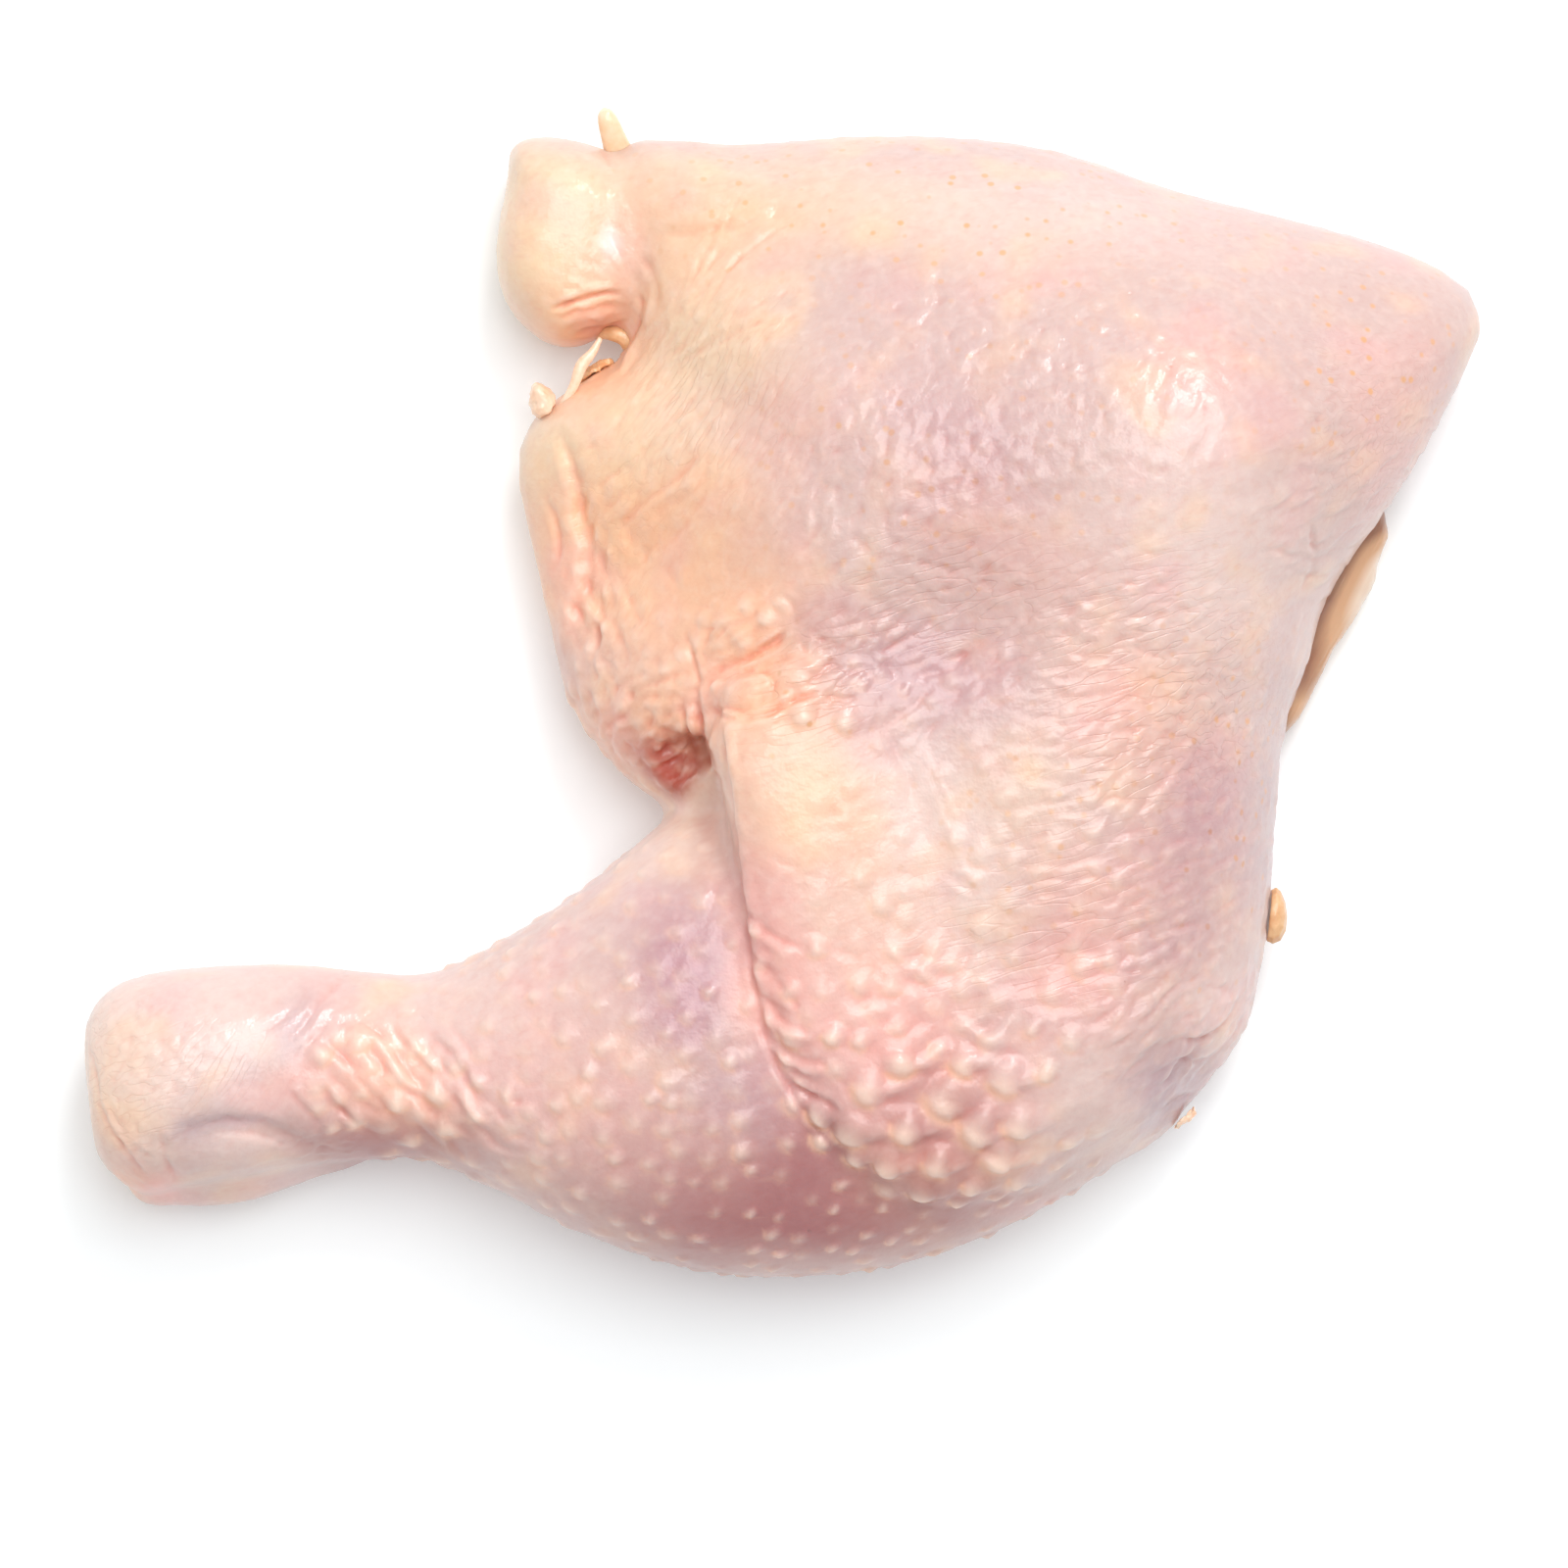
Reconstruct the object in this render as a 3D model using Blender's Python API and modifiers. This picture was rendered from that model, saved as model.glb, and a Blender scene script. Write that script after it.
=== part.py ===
"""A raw chicken leg quarter, skin on, lying with its inner side down.

The thigh and the drumstick are one piece of skin-covered meat, folded at the knee. The thigh's
bare inner meat shows past the skin at the cut edge, and a few torn bits hang from the rims.

Frame: the origin is on the table under the middle of the piece, +Z is up, +X runs from the hock
towards the back bone's corner, and +Y from the drumstick towards the back.
Run it with  blender --background --python part.py  or from Blender's text editor.
"""

import math

import bmesh
import bpy
import numpy as np
from mathutils import Vector

MM = 0.001  # outlines and stations below are in millimetres

# Driving dimensions, in metres
TISSUE_GAP = 0.0003  # clearance between two pieces that touch
BODY_VOXEL = 0.0012  # grain at which the soft forms grow into one skin
BODY_SMOOTHING = 6
BODY_FACES_KEPT = 0.092
FOOT_FULLNESS = 1.4  # how much fuller a lump is below its rim than above it
SCRAP_TAPER = 0.25
TABLE_BOX = 0.4

SKIN_LOOK = ("skin", (0.82, 0.58, 0.52, 1.0), 0.38)
MEAT_LOOK = ("meat", (0.55, 0.24, 0.20, 1.0), 0.42)
FAT_LOOK = ("fat", (0.90, 0.72, 0.48, 1.0), 0.40)


# ---------------------------------------------------------------- scene


def clear_scene():
    for old in list(bpy.data.objects):
        bpy.data.objects.remove(old)


def make_collection(name):
    made = bpy.data.collections.new(name)
    bpy.context.scene.collection.children.link(made)
    return made


def make_material(name, colour, roughness):
    """A plain Principled material."""
    made = bpy.data.materials.new(name)
    made.use_nodes = True
    shader = made.node_tree.nodes["Principled BSDF"]
    shader.inputs["Base Color"].default_value = colour
    shader.inputs["Roughness"].default_value = roughness
    shader.inputs["Metallic"].default_value = 0.0
    return made


def make_object(name, bm, collection, material=None):
    """Turns a bmesh into a named object."""
    bmesh.ops.recalc_face_normals(bm, faces=bm.faces)
    mesh = bpy.data.meshes.new(name)
    bm.to_mesh(mesh)
    bm.free()
    mesh.shade_smooth()
    made = bpy.data.objects.new(name, mesh)
    collection.objects.link(made)
    if material:
        mesh.materials.append(material)
    return made


def make_cutter(obj):
    obj.hide_render = True
    obj.display_type = "WIRE"
    return obj


# ---------------------------------------------------------------- curves through a few points


def catmull_rom(before, start, end, after, t):
    """The point at t, from 0 to 1, on the smooth curve from start to end."""
    return 0.5 * (
        2 * start
        + (end - before) * t
        + (2 * before - 5 * start + 4 * end - after) * t**2
        + (3 * start - before - 3 * end + after) * t**3
    )


def smooth_loop(points, steps=12):
    """A closed smooth curve through points."""
    corners = [np.array(p, float) for p in points]
    count = len(corners)
    return np.array(
        [
            catmull_rom(
                corners[i - 1],
                corners[i],
                corners[(i + 1) % count],
                corners[(i + 2) % count],
                step / steps,
            )
            for i in range(count)
            for step in range(steps)
        ]
    )


def smooth_rows(rows, steps=5):
    """Rows of numbers, with steps - 1 more rows eased in between each two."""
    rows = [np.array(r, float) for r in rows]
    padded = [2 * rows[0] - rows[1], *rows, 2 * rows[-1] - rows[-2]]
    made = [
        catmull_rom(*padded[i : i + 4], step / steps)
        for i in range(len(rows) - 1)
        for step in range(steps)
    ]
    return [*made, rows[-1]]


# ---------------------------------------------------------------- soft forms


def reach(outline, centre, angles):
    """How far the outline lies from centre in each direction."""
    away = smooth_loop(outline) - np.array(centre, float)
    directions = np.arctan2(away[:, 1], away[:, 0])
    order = np.argsort(directions)
    return np.interp(
        angles,
        directions[order],
        np.hypot(away[:, 0], away[:, 1])[order],
        period=2 * math.pi,
    )


def pillow(
    bm, centre, outline, base, rim, crown, shoulder, swells=(), slope=(0, 0), segments=96, rings=48
):  # fmt: skip
    """A lump of meat: a sphere drawn out to an outline in plan.

    base, rim and crown are the heights of its underside, its widest line and its top. shoulder is
    its fullness near the rim. A swell is (x, y, radius, rise), and slope tilts the whole lump.
    """
    made = bmesh.ops.create_uvsphere(bm, u_segments=segments, v_segments=rings, radius=1.0)
    verts = made["verts"]
    unit = np.array([v.co for v in verts])
    rho = np.clip(np.hypot(unit[:, 0], unit[:, 1]), 0.0, 1.0)
    angles = np.arctan2(unit[:, 1], unit[:, 0])
    radius = reach(outline, centre, angles) * rho
    x = centre[0] + radius * np.cos(angles)
    y = centre[1] + radius * np.sin(angles)
    top = np.full(len(x), float(crown))
    for at_x, at_y, spread, rise in swells:
        top += rise * np.exp(-((x - at_x) ** 2 + (y - at_y) ** 2) / spread**2)
    dome = (1 - rho**shoulder) ** 0.5
    foot = (1 - rho ** (FOOT_FULLNESS * shoulder)) ** 0.5
    z = np.where(unit[:, 2] >= 0, rim + (top - rim) * dome, rim - (rim - base) * foot)
    z += slope[0] * (x - centre[0]) + slope[1] * (y - centre[1])
    for vert, place in zip(verts, np.column_stack([x, y, z]) * MM):
        vert.co = place


def limb(bm, stations, fullness=2.2, sides=40):
    """A loft along X. A station is (x, lean, near y, far y, low z, high z).

    lean shifts the section's near side along X. fullness 2 is an ellipse, more is squarer.
    """
    rings = []
    for x, lean, near, far, low, high in smooth_rows(stations):
        ring = []
        for side in range(sides):
            angle = 2 * math.pi * side / sides
            across = math.copysign(abs(math.cos(angle)) ** (2 / fullness), math.cos(angle))
            up = math.copysign(abs(math.sin(angle)) ** (2 / fullness), math.sin(angle))
            y = (near + far) / 2 + across * (far - near) / 2
            z = (low + high) / 2 + up * (high - low) / 2
            ring.append(bm.verts.new(Vector((x - lean * across, y, z)) * MM))
        rings.append(ring)
    for ring, following in zip(rings, rings[1:]):
        for side in range(sides):
            after = (side + 1) % sides
            bm.faces.new((ring[side], ring[after], following[after], following[side]))
    bm.faces.new(rings[0])
    bm.faces.new(rings[-1])


# ---------------------------------------------------------------- the forms of the leg, in mm

FOOT_DEPTH = 2  # how far a form reaches below the table before it is cut flat

THIGH = {
    "centre": (26, 10),
    "outline": (
        (86.1, 45.5), (82.8, 50.5), (76, 54), (66, 57), (48, 61.5), (32, 66.7), (14, 68.3),
        (-6, 67.2), (-18, 68), (-22.5, 63), (-20, 51), (-19, 42), (-25, 38), (-31, 33.5),
        (-32.8, 27), (-31, 18), (-28.5, 9), (-27.5, 2), (-24.5, -4.5), (-19, -11), (-13.5, -15),
        (-9, -21), (-5, -32), (-2, -45), (6, -58), (20, -65), (35, -60.5), (45.5, -55.5),
        (51.5, -49.5), (56, -43), (58.5, -35), (59.6, -26), (60.4, -15), (61.6, -4), (64.2, 3),
        (66.5, 11), (70.5, 17.5), (75.8, 25), (81, 34),
    ),
    "swells": (
        (50, 34, 24, 9),  # the thickest part of the thigh, over the hip joint
        (12, 24, 20, 3),
        (42, -24, 22, 3),  # the end of the thigh above the knee
        (-14, 56, 16, -8),  # the thin back end by the tail
        (70, 46, 12, -4),
        (-27, 16, 17, -15),  # the loose skin that hangs to the table
        (20, 7, 10, -2),  # the dent between thigh and fold
    ),
    "base": -FOOT_DEPTH,
    "rim": 9,
    "crown": 34,
    "shoulder": 2.7,
}  # fmt: skip
TAIL = {
    "centre": (-26, 55),
    "outline": (
        (-32.6, 67.8), (-34, 62), (-35.4, 54), (-34, 47.5), (-30, 43.3), (-26, 42.2), (-22, 44),
        (-15, 50), (-14, 60), (-23, 67),
    ),
    "base": -FOOT_DEPTH,
    "rim": 8.5,
    "crown": 18.5,
    "shoulder": 3.8,
}  # fmt: skip
# the roll of thigh skin that laps over the drumstick
FOLD = {
    "centre": (14, -32),
    "outline": (
        (-8, -3), (-7.2, -12), (-6, -20), (-4.6, -29), (-3.2, -37), (-0.5, -44.5), (3.5, -51),
        (8, -56.5), (14, -61), (24, -62), (36, -56), (44, -42), (44, -22), (36, -2), (22, 8), (4, 8),
    ),
    "slope": (-0.13, 0.05),
    "base": 8,
    "rim": 25,
    "crown": 33.2,
    "shoulder": 5.5,
}  # fmt: skip
KNEE = {
    "centre": (30, -38),
    "outline": (
        (58.6, -26), (57, -37), (51, -48), (43, -55), (32, -60.5), (20, -64), (10, -62), (6, -50),
        (6, -36), (14, -20), (36, -10), (54, -14),
    ),
    "base": 3,
    "rim": 11,
    "crown": 32.5,
    "shoulder": 3.2,
}  # fmt: skip
HEEL = {
    "centre": (-67, -57.5),
    "outline": (
        (-81.5, -57.5), (-79.2, -62.4), (-73, -63.4), (-66, -62.8), (-58, -60), (-50, -57),
        (-54, -52), (-66, -51), (-78, -52),
    ),
    "base": 1.5,
    "rim": 6.5,
    "crown": 14,
    "shoulder": 2.4,
}  # fmt: skip

# x, lean, near y, far y, low z, high z from the cut hock to inside the knee
DRUMSTICK_STATIONS = (
    (-85.0, 0.6, -54.0, -43.0, 7.0, 15.0),
    (-84.2, 0.8, -58.0, -39.5, 4.2, 19.0),
    (-81.0, 1.2, -60.5, -36.2, 1.8, 22.0),
    (-76.0, 1.0, -61.0, -34.4, 0.4, 24.0),
    (-69.0, 0.6, -59.8, -33.6, -0.4, 24.5),
    (-60.0, 0.0, -58.2, -33.4, 0.6, 23.5),
    (-51.0, 0.0, -57.4, -34.3, 1.8, 22.5),
    (-43.0, 0.0, -57.4, -34.4, 1.8, 23.0),
    (-34.0, 0.0, -61.5, -30.2, 0.5, 26.0),
    (-24.0, 0.0, -66.5, -23.7, -1.5, 29.0),
    (-12.0, 0.0, -70.5, -14.0, -3.0, 30.5),
    (0.0, 0.0, -71.7, -10.0, -3.0, 30.0),
    (14.0, 0.0, -70.2, -12.0, -3.0, 28.8),
    (28.0, 0.0, -65.2, -18.0, -2.0, 27.5),
    (42.0, 0.0, -56.8, -24.0, -1.0, 25.0),
    (52.0, 0.0, -46.0, -32.0, 4.0, 20.0),
)

MEAT = {
    "centre": (34, 14),
    "outline": (
        (74.6, 21.5), (72.6, 12), (68, 5), (63.5, -3.5), (54, -14), (46, -30), (30, -38),
        (12, -30), (4, -8), (2, 14), (0, 36), (14, 50), (36, 52), (58, 45), (70, 33),
    ),
    "base": -1,
    "rim": 3.8,
    "crown": 8.5,
    "shoulder": 6,
    "segments": 48,
    "rings": 16,
}  # fmt: skip

# torn bits: name, centre, half lengths, turn about Z in degrees
SCRAPS = (
    ("tail_tag", (-21.2, 68.0, 12.5), (1.9, 3.6, 1.6), 10),
    ("edge_bead", (60.3, -27.5, 9.0), (1.6, 3.6, 2.2), -4),
    ("rim_nub", (-29.6, 35.6, 13.0), (1.6, 2.4, 1.6), 18),
    ("torn_fat", (-22.4, 37.6, 8.5), (3.2, 3.4, 2.2), -20),
    ("knee_scrap", (47.6, -52.0, 11.0), (3.0, 1.6, 1.8), 22),
)
SINEW_ROUTE = (
    (-18.6, 43.0, 12.5), (-21.2, 41.4, 13.6), (-23.4, 39.4, 14.2), (-24.8, 36.8, 14.6),
    (-26.4, 33.9, 14.8),
)  # fmt: skip
SINEW_RADIUS = 0.7


# ---------------------------------------------------------------- the pieces


def make_meat(collection, material, name="inner_meat", grow=0.0):
    """The thigh's bare inner side, a slab that the leg lies on. grow widens it into a cutter."""
    bm = bmesh.new()
    pillow(bm, **MEAT)
    bm.normal_update()
    for vert in bm.verts:
        vert.co += vert.normal * grow
    return make_object(name, bm, collection, material)


def make_table_cutter(collection):
    """A box whose top face is the table, for the flat foot of each piece."""
    bm = bmesh.new()
    bmesh.ops.create_cube(bm, size=TABLE_BOX)
    bmesh.ops.translate(bm, verts=bm.verts, vec=(0, 0, -TABLE_BOX / 2))
    return make_cutter(make_object("table_cutter", bm, collection))


def cut(obj, cutter):
    """Takes the cutter's space out of an object."""
    boolean = obj.modifiers.new("cut by " + cutter.name, "BOOLEAN")
    boolean.operation = "DIFFERENCE"
    boolean.object = cutter


def leg_forms():
    """The leg's forms, still as loose lumps that reach into each other."""
    bm = bmesh.new()
    for form in (THIGH, TAIL, FOLD, KNEE, HEEL):
        pillow(bm, **form)
    limb(bm, DRUMSTICK_STATIONS)
    return bm


def grow_skin(leg):
    """Melts the lumps into one closed skin and thins out its faces."""
    grown = leg.modifiers.new("one skin", "REMESH")
    grown.mode = "VOXEL"
    grown.voxel_size = BODY_VOXEL
    grown.use_smooth_shade = True
    eased = leg.modifiers.new("ease creases", "SMOOTH")
    eased.factor = 0.5
    eased.iterations = BODY_SMOOTHING
    thinned = leg.modifiers.new("fewer faces", "DECIMATE")
    thinned.ratio = BODY_FACES_KEPT


def make_leg_space(leg, collection):
    """The leg with a clearance all round, as a cutter for what clings to it."""
    space = bpy.data.objects.new("leg_space", leg.data)
    collection.objects.link(space)
    grow_skin(space)
    swollen = space.modifiers.new("clearance", "DISPLACE")
    swollen.strength = TISSUE_GAP
    swollen.mid_level = 0.0
    return make_cutter(space)


def make_scrap(name, centre, half_lengths, turn, collection, material):
    """A torn bit of fat, thicker at its root."""
    bm = bmesh.new()
    bmesh.ops.create_uvsphere(bm, u_segments=12, v_segments=7, radius=1.0)
    for vert in bm.verts:
        vert.co.x *= 1 - SCRAP_TAPER * vert.co.y
        vert.co = Vector(a * b for a, b in zip(vert.co, half_lengths)) * MM
    scrap = make_object(name, bm, collection, material)
    scrap.location = Vector(centre) * MM
    scrap.rotation_euler.z = math.radians(turn)
    return scrap


def make_sinew(collection, material):
    """The strand that bridges the notch between tail and thigh."""
    curve = bpy.data.curves.new("sinew_route", "CURVE")
    curve.dimensions = "3D"
    curve.bevel_depth = SINEW_RADIUS * MM
    curve.bevel_resolution = 2
    curve.use_fill_caps = True
    spline = curve.splines.new("POLY")
    spline.points.add(len(SINEW_ROUTE) - 1)
    for point, place in zip(spline.points, SINEW_ROUTE):
        point.co = (*(Vector(place) * MM), 1)
    route = bpy.data.objects.new("sinew_route", curve)
    collection.objects.link(route)
    bpy.context.view_layer.update()
    evaluated = route.evaluated_get(bpy.context.evaluated_depsgraph_get())
    bm = bmesh.new()
    bm.from_mesh(bpy.data.meshes.new_from_object(evaluated))
    bmesh.ops.remove_doubles(bm, verts=bm.verts, dist=0.00001)
    bpy.data.objects.remove(route)
    return make_object("sinew_strand", bm, collection, material)


def main():
    clear_scene()
    pieces = make_collection("raw chicken leg quarter")
    cutters = make_collection("cutters")
    skin, meat, fat = (make_material(*kind) for kind in (SKIN_LOOK, MEAT_LOOK, FAT_LOOK))

    table = make_table_cutter(cutters)
    meat_space = make_cutter(make_meat(cutters, None, "meat_space", grow=TISSUE_GAP))

    leg = make_object("leg_quarter", leg_forms(), pieces, skin)
    grow_skin(leg)
    leg_space = make_leg_space(leg, cutters)
    cut(leg, table)
    cut(leg, meat_space)
    cut(make_meat(pieces, meat), table)
    for scrap in SCRAPS:
        cut(make_scrap(*scrap, pieces, fat), leg_space)
    cut(make_sinew(pieces, fat), leg_space)


main()
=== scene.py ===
"""The looks of a raw chicken leg quarter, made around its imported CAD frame.

The skin is the CAD leg laid out again as a fine mesh. Swells, creases, folds, wrinkles and goosebumps
are then raised on it, and soft zones in plan tint it. Places and sizes in the tables are millimetres in
the frame's own axes, and angles are degrees from +X.
"""

import itertools
import math
from collections import namedtuple

import bmesh
import bpy
import numpy as np
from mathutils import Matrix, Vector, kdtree


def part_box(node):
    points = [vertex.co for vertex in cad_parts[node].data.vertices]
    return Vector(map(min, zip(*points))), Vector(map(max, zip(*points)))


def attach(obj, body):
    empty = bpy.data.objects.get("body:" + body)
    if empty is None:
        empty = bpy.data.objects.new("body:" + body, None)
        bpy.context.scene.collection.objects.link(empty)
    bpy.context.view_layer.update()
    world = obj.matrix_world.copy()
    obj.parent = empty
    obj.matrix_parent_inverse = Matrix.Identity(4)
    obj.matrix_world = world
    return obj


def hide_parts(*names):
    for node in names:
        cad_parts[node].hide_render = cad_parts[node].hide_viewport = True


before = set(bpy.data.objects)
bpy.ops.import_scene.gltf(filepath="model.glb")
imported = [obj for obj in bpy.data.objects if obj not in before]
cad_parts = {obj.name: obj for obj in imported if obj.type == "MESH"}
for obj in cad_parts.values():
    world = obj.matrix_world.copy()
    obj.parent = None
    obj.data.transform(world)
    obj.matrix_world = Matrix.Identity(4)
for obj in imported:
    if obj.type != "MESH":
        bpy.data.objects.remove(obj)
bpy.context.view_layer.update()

MM = 0.001

# the skin's mesh
GRAIN = 0.42  # spacing of its points before it is thinned
FACET_PASSES = 70  # passes that ease the CAD facets away
SKIN_FACES = 196_000

rng = np.random.default_rng(11)
GRADIENTS = rng.normal(size=(256, 3))
GRADIENTS /= np.linalg.norm(GRADIENTS, axis=1)[:, None]


# ---------------------------------------------------------------- curves, zones and noise


def smoothstep(low, high, value):
    """0 below low, 1 above high, eased in between. low may be above high."""
    share = np.clip((value - low) / (high - low), 0.0, 1.0)
    return share * share * (3 - 2 * share)


def turned(x, y, angle):
    """x and y along and across a direction."""
    turn = math.radians(angle)
    along = x * math.cos(turn) + y * math.sin(turn)
    across = y * math.cos(turn) - x * math.sin(turn)
    return along, across


def zone(points, centre, radii, angle, edge):
    """1 inside an ellipse in plan, falling to 0 at its rim over the share edge of its radius."""
    along, across = turned(points[:, 0] - centre[0], points[:, 1] - centre[1], angle)
    return smoothstep(1.0, 1.0 - edge, np.hypot(along / radii[0], across / radii[1]))


def smooth_route(stops, steps=8):
    """A smooth curve through the stops."""
    stops = [np.array(s, float) for s in stops]
    padded = [2 * stops[0] - stops[1], *stops, 2 * stops[-1] - stops[-2]]
    route = []
    for before, start, end, after in zip(padded, padded[1:], padded[2:], padded[3:]):
        bow = 2 * before - 5 * start + 4 * end - after
        twist = 3 * start - before - 3 * end + after
        for t in np.arange(steps) / steps:
            route.append(0.5 * (2 * start + (end - before) * t + bow * t**2 + twist * t**3))
    return np.array([*route, stops[-1]])


def beside(points, stops):
    """For each point, its distance from a route, positive on the left, and its share along it."""
    route = smooth_route(stops)
    nearest = np.full(len(points), 1e9)
    side = np.ones(len(points))
    share = np.zeros(len(points))
    last = len(route) - 1
    for i, (start, end) in enumerate(zip(route, route[1:])):
        leg = end - start
        away = points[:, :2] - start
        t = np.clip(away @ leg / (leg @ leg), 0.0, 1.0)
        off = away - t[:, None] * leg
        distance = np.hypot(off[:, 0], off[:, 1])
        closer = distance < nearest
        nearest = np.where(closer, distance, nearest)
        side = np.where(closer, np.sign(leg[0] * away[:, 1] - leg[1] * away[:, 0]), side)
        share = np.where(closer, (i + t) / last, share)
    return nearest * side, share


def close_to(points, stops, reach):
    """Which points lie within reach of the box round a route."""
    low = np.min(stops, axis=0) - reach
    high = np.max(stops, axis=0) + reach
    return np.flatnonzero(((points[:, :2] > low) & (points[:, :2] < high)).all(axis=1))


def scattered(places, apart, tries=4000):
    """Indices of places picked at random, none nearer than apart to another."""
    order = rng.permutation(len(places))[:tries]
    kept = np.empty((len(order), places.shape[1]))
    chosen = []
    for i in order:
        gaps = ((kept[: len(chosen)] - places[i]) ** 2).sum(axis=1)
        if (gaps > apart**2).all():
            kept[len(chosen)] = places[i]
            chosen.append(i)
    return chosen


def noise(points, seed=0):
    """Smooth noise, from about -1 to 1, with humps about one unit across. Each use has its own seeds."""
    cell = np.floor(points).astype(np.int64)
    part = points - cell
    eased = part**3 * (part * (part * 6 - 15) + 10)
    total = np.zeros(len(points))
    for corner in itertools.product((0, 1), repeat=3):
        spot = (cell + corner) * (73856093, 19349663, 83492791)
        mixed = (spot[:, 0] ^ spot[:, 1] ^ spot[:, 2]) + seed * 9176
        mixed = (mixed ^ (mixed >> 13)) * 1274126177
        slope = GRADIENTS[(mixed ^ (mixed >> 16)) & 255]
        weight = np.where(corner, eased, 1 - eased).prod(axis=1)
        total += weight * ((part - corner) * slope).sum(axis=1)
    return total * 1.6


def cloud(points, size, seed=0, octaves=3):
    """Noise with finer noise on it. size is that of its largest humps."""
    total = np.zeros(len(points))
    for octave in range(octaves):
        total += noise(points * 2**octave / size, seed + octave) / 2**octave
    return total


def straight(points, run):
    """Points in plan as along and across a direction."""
    return np.column_stack(turned(points[:, 0], points[:, 1], run))


def circling(points, centre, at):
    """Points in plan as along and across rings round a centre. Along is true to size near at."""
    x, y = (points[:, :2] - centre).T
    reach = math.dist(centre, at)
    facing = math.atan2(at[1] - centre[1], at[0] - centre[0])
    angle = (np.arctan2(y, x) - facing + math.pi) % (2 * math.pi) - math.pi
    return np.column_stack([angle * reach, np.hypot(x, y)])


# ---------------------------------------------------------------- meshes as arrays


class Surface:
    """A mesh's points in millimetres, with what is needed to move and smooth them."""

    def __init__(self, obj):
        self.mesh = obj.data
        self.points = self.vectors(self.mesh.vertices, "co") / MM
        edges = np.empty(len(self.mesh.edges) * 2, np.int32)
        self.mesh.edges.foreach_get("vertices", edges)
        self.edges = edges.reshape(-1, 2)
        self.counts = np.bincount(edges, minlength=len(self.points))[:, None].clip(1)

    def vectors(self, items, key):
        flat = np.empty(len(items) * 3, np.float32)
        items.foreach_get(key, flat)
        return flat.reshape(-1, 3).astype(float)

    def write(self):
        self.mesh.vertices.foreach_set("co", (self.points * MM).astype(np.float32).ravel())
        self.mesh.update()

    def normals(self):
        self.write()
        return self.vectors(self.mesh.vertex_normals, "vector")

    def neighbours(self, values):
        """The mean of each point's neighbours."""
        first, second = self.edges.T
        count = len(self.points)
        sums = [
            np.bincount(first, column[second], count) + np.bincount(second, column[first], count)
            for column in values.T
        ]
        return np.column_stack(sums) / self.counts

    def ease(self, passes):
        """Smooths the points without shrinking the form."""
        for i in range(passes):
            factor = -0.53 if i % 2 else 0.5
            self.points += factor * (self.neighbours(self.points) - self.points)

    def blur(self, values, passes):
        values = values[:, None]
        for _ in range(passes):
            values = 0.5 * values + 0.5 * self.neighbours(values)
        return values[:, 0]

    def store(self, name, values):
        """Keeps values on the mesh for its material to read."""
        layer = self.mesh.attributes.new(name, "FLOAT", "POINT")
        layer.data.foreach_set("value", values.astype(np.float32))


def link(obj):
    bpy.context.scene.collection.objects.link(obj)
    return obj


def baked(obj):
    """Applies an object's modifiers to its mesh."""
    evaluated = obj.evaluated_get(bpy.context.evaluated_depsgraph_get())
    mesh = bpy.data.meshes.new_from_object(evaluated)
    obj.modifiers.clear()
    obj.data = mesh
    return obj


def fine_copy(node, name, grain):
    """A CAD node's shape as a new piece with an even mesh."""
    bm = bmesh.new()
    bm.from_mesh(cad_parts[node].data)
    bmesh.ops.remove_doubles(bm, verts=bm.verts, dist=0.001 * MM)
    mesh = bpy.data.meshes.new(name)
    bm.to_mesh(mesh)
    bm.free()
    piece = link(bpy.data.objects.new(name, mesh))
    remesh = piece.modifiers.new("even", "REMESH")
    remesh.mode = "VOXEL"
    remesh.voxel_size = grain * MM
    return baked(piece)


# ---------------------------------------------------------------- relief of the skin

# at and radii are the centre and half sizes of an ellipse in plan, and turn is its angle
Swell = namedtuple("Swell", "at radii rise turn", defaults=(0,))

# a lip_side of 1 is the left of the route, and fade is the share of it that fades at each end
Crease = namedtuple("Crease", "route depth width lip lip_side fade", defaults=(0.4, 0.0, 1, (0.25, 0.25)))

# length and spacing are along and across the run, or along and across rings around a place.
# A steep of 1 makes an even ridge.
Fold = namedtuple(
    "Fold", "at radii length spacing height steep run around turn", defaults=(0.25, 0, None, 0)
)

# length and width are those of its valleys, along and across the run
Wrinkle = namedtuple("Wrinkle", "at radii run length width depth")

# size is half a mound's length, broad its half width and apart its spacing, both as shares of size.
# point is where its blunt end faces, and pale how pale its tip is.
Bumps = namedtuple("Bumps", "at radii rise size broad point pale apart")


def swollen(points, swells):
    """Broad rises and dents."""
    relief = np.zeros(len(points))
    for swell in swells:
        relief += swell.rise * zone(points, swell.at, swell.radii, swell.turn, 1.0)
    return relief


def creased(points, creases):
    """Grooves along routes, each with a lip on one side. A negative depth makes a ridge."""
    relief = np.zeros(len(points))
    for seed, crease in enumerate(creases):
        width = crease.width
        near = close_to(points, crease.route, 6 * width)
        off, share = beside(points[near], crease.route)
        off += 0.35 * width * noise(points[near] / 1.6, 900 + seed)
        fade_in, fade_out = crease.fade
        ends = smoothstep(0, fade_in, share) * smoothstep(1, 1 - fade_out, share)
        ends *= 1 + 0.35 * noise(points[near] / 3, 950 + seed)
        groove = -crease.depth * np.exp(-((off / width) ** 2))
        from_lip = off * crease.lip_side - 1.8 * width
        lip = crease.lip * np.exp(-((from_lip / (1.3 * width)) ** 2))
        relief[near] += ends * (groove + lip)
    return relief


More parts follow.
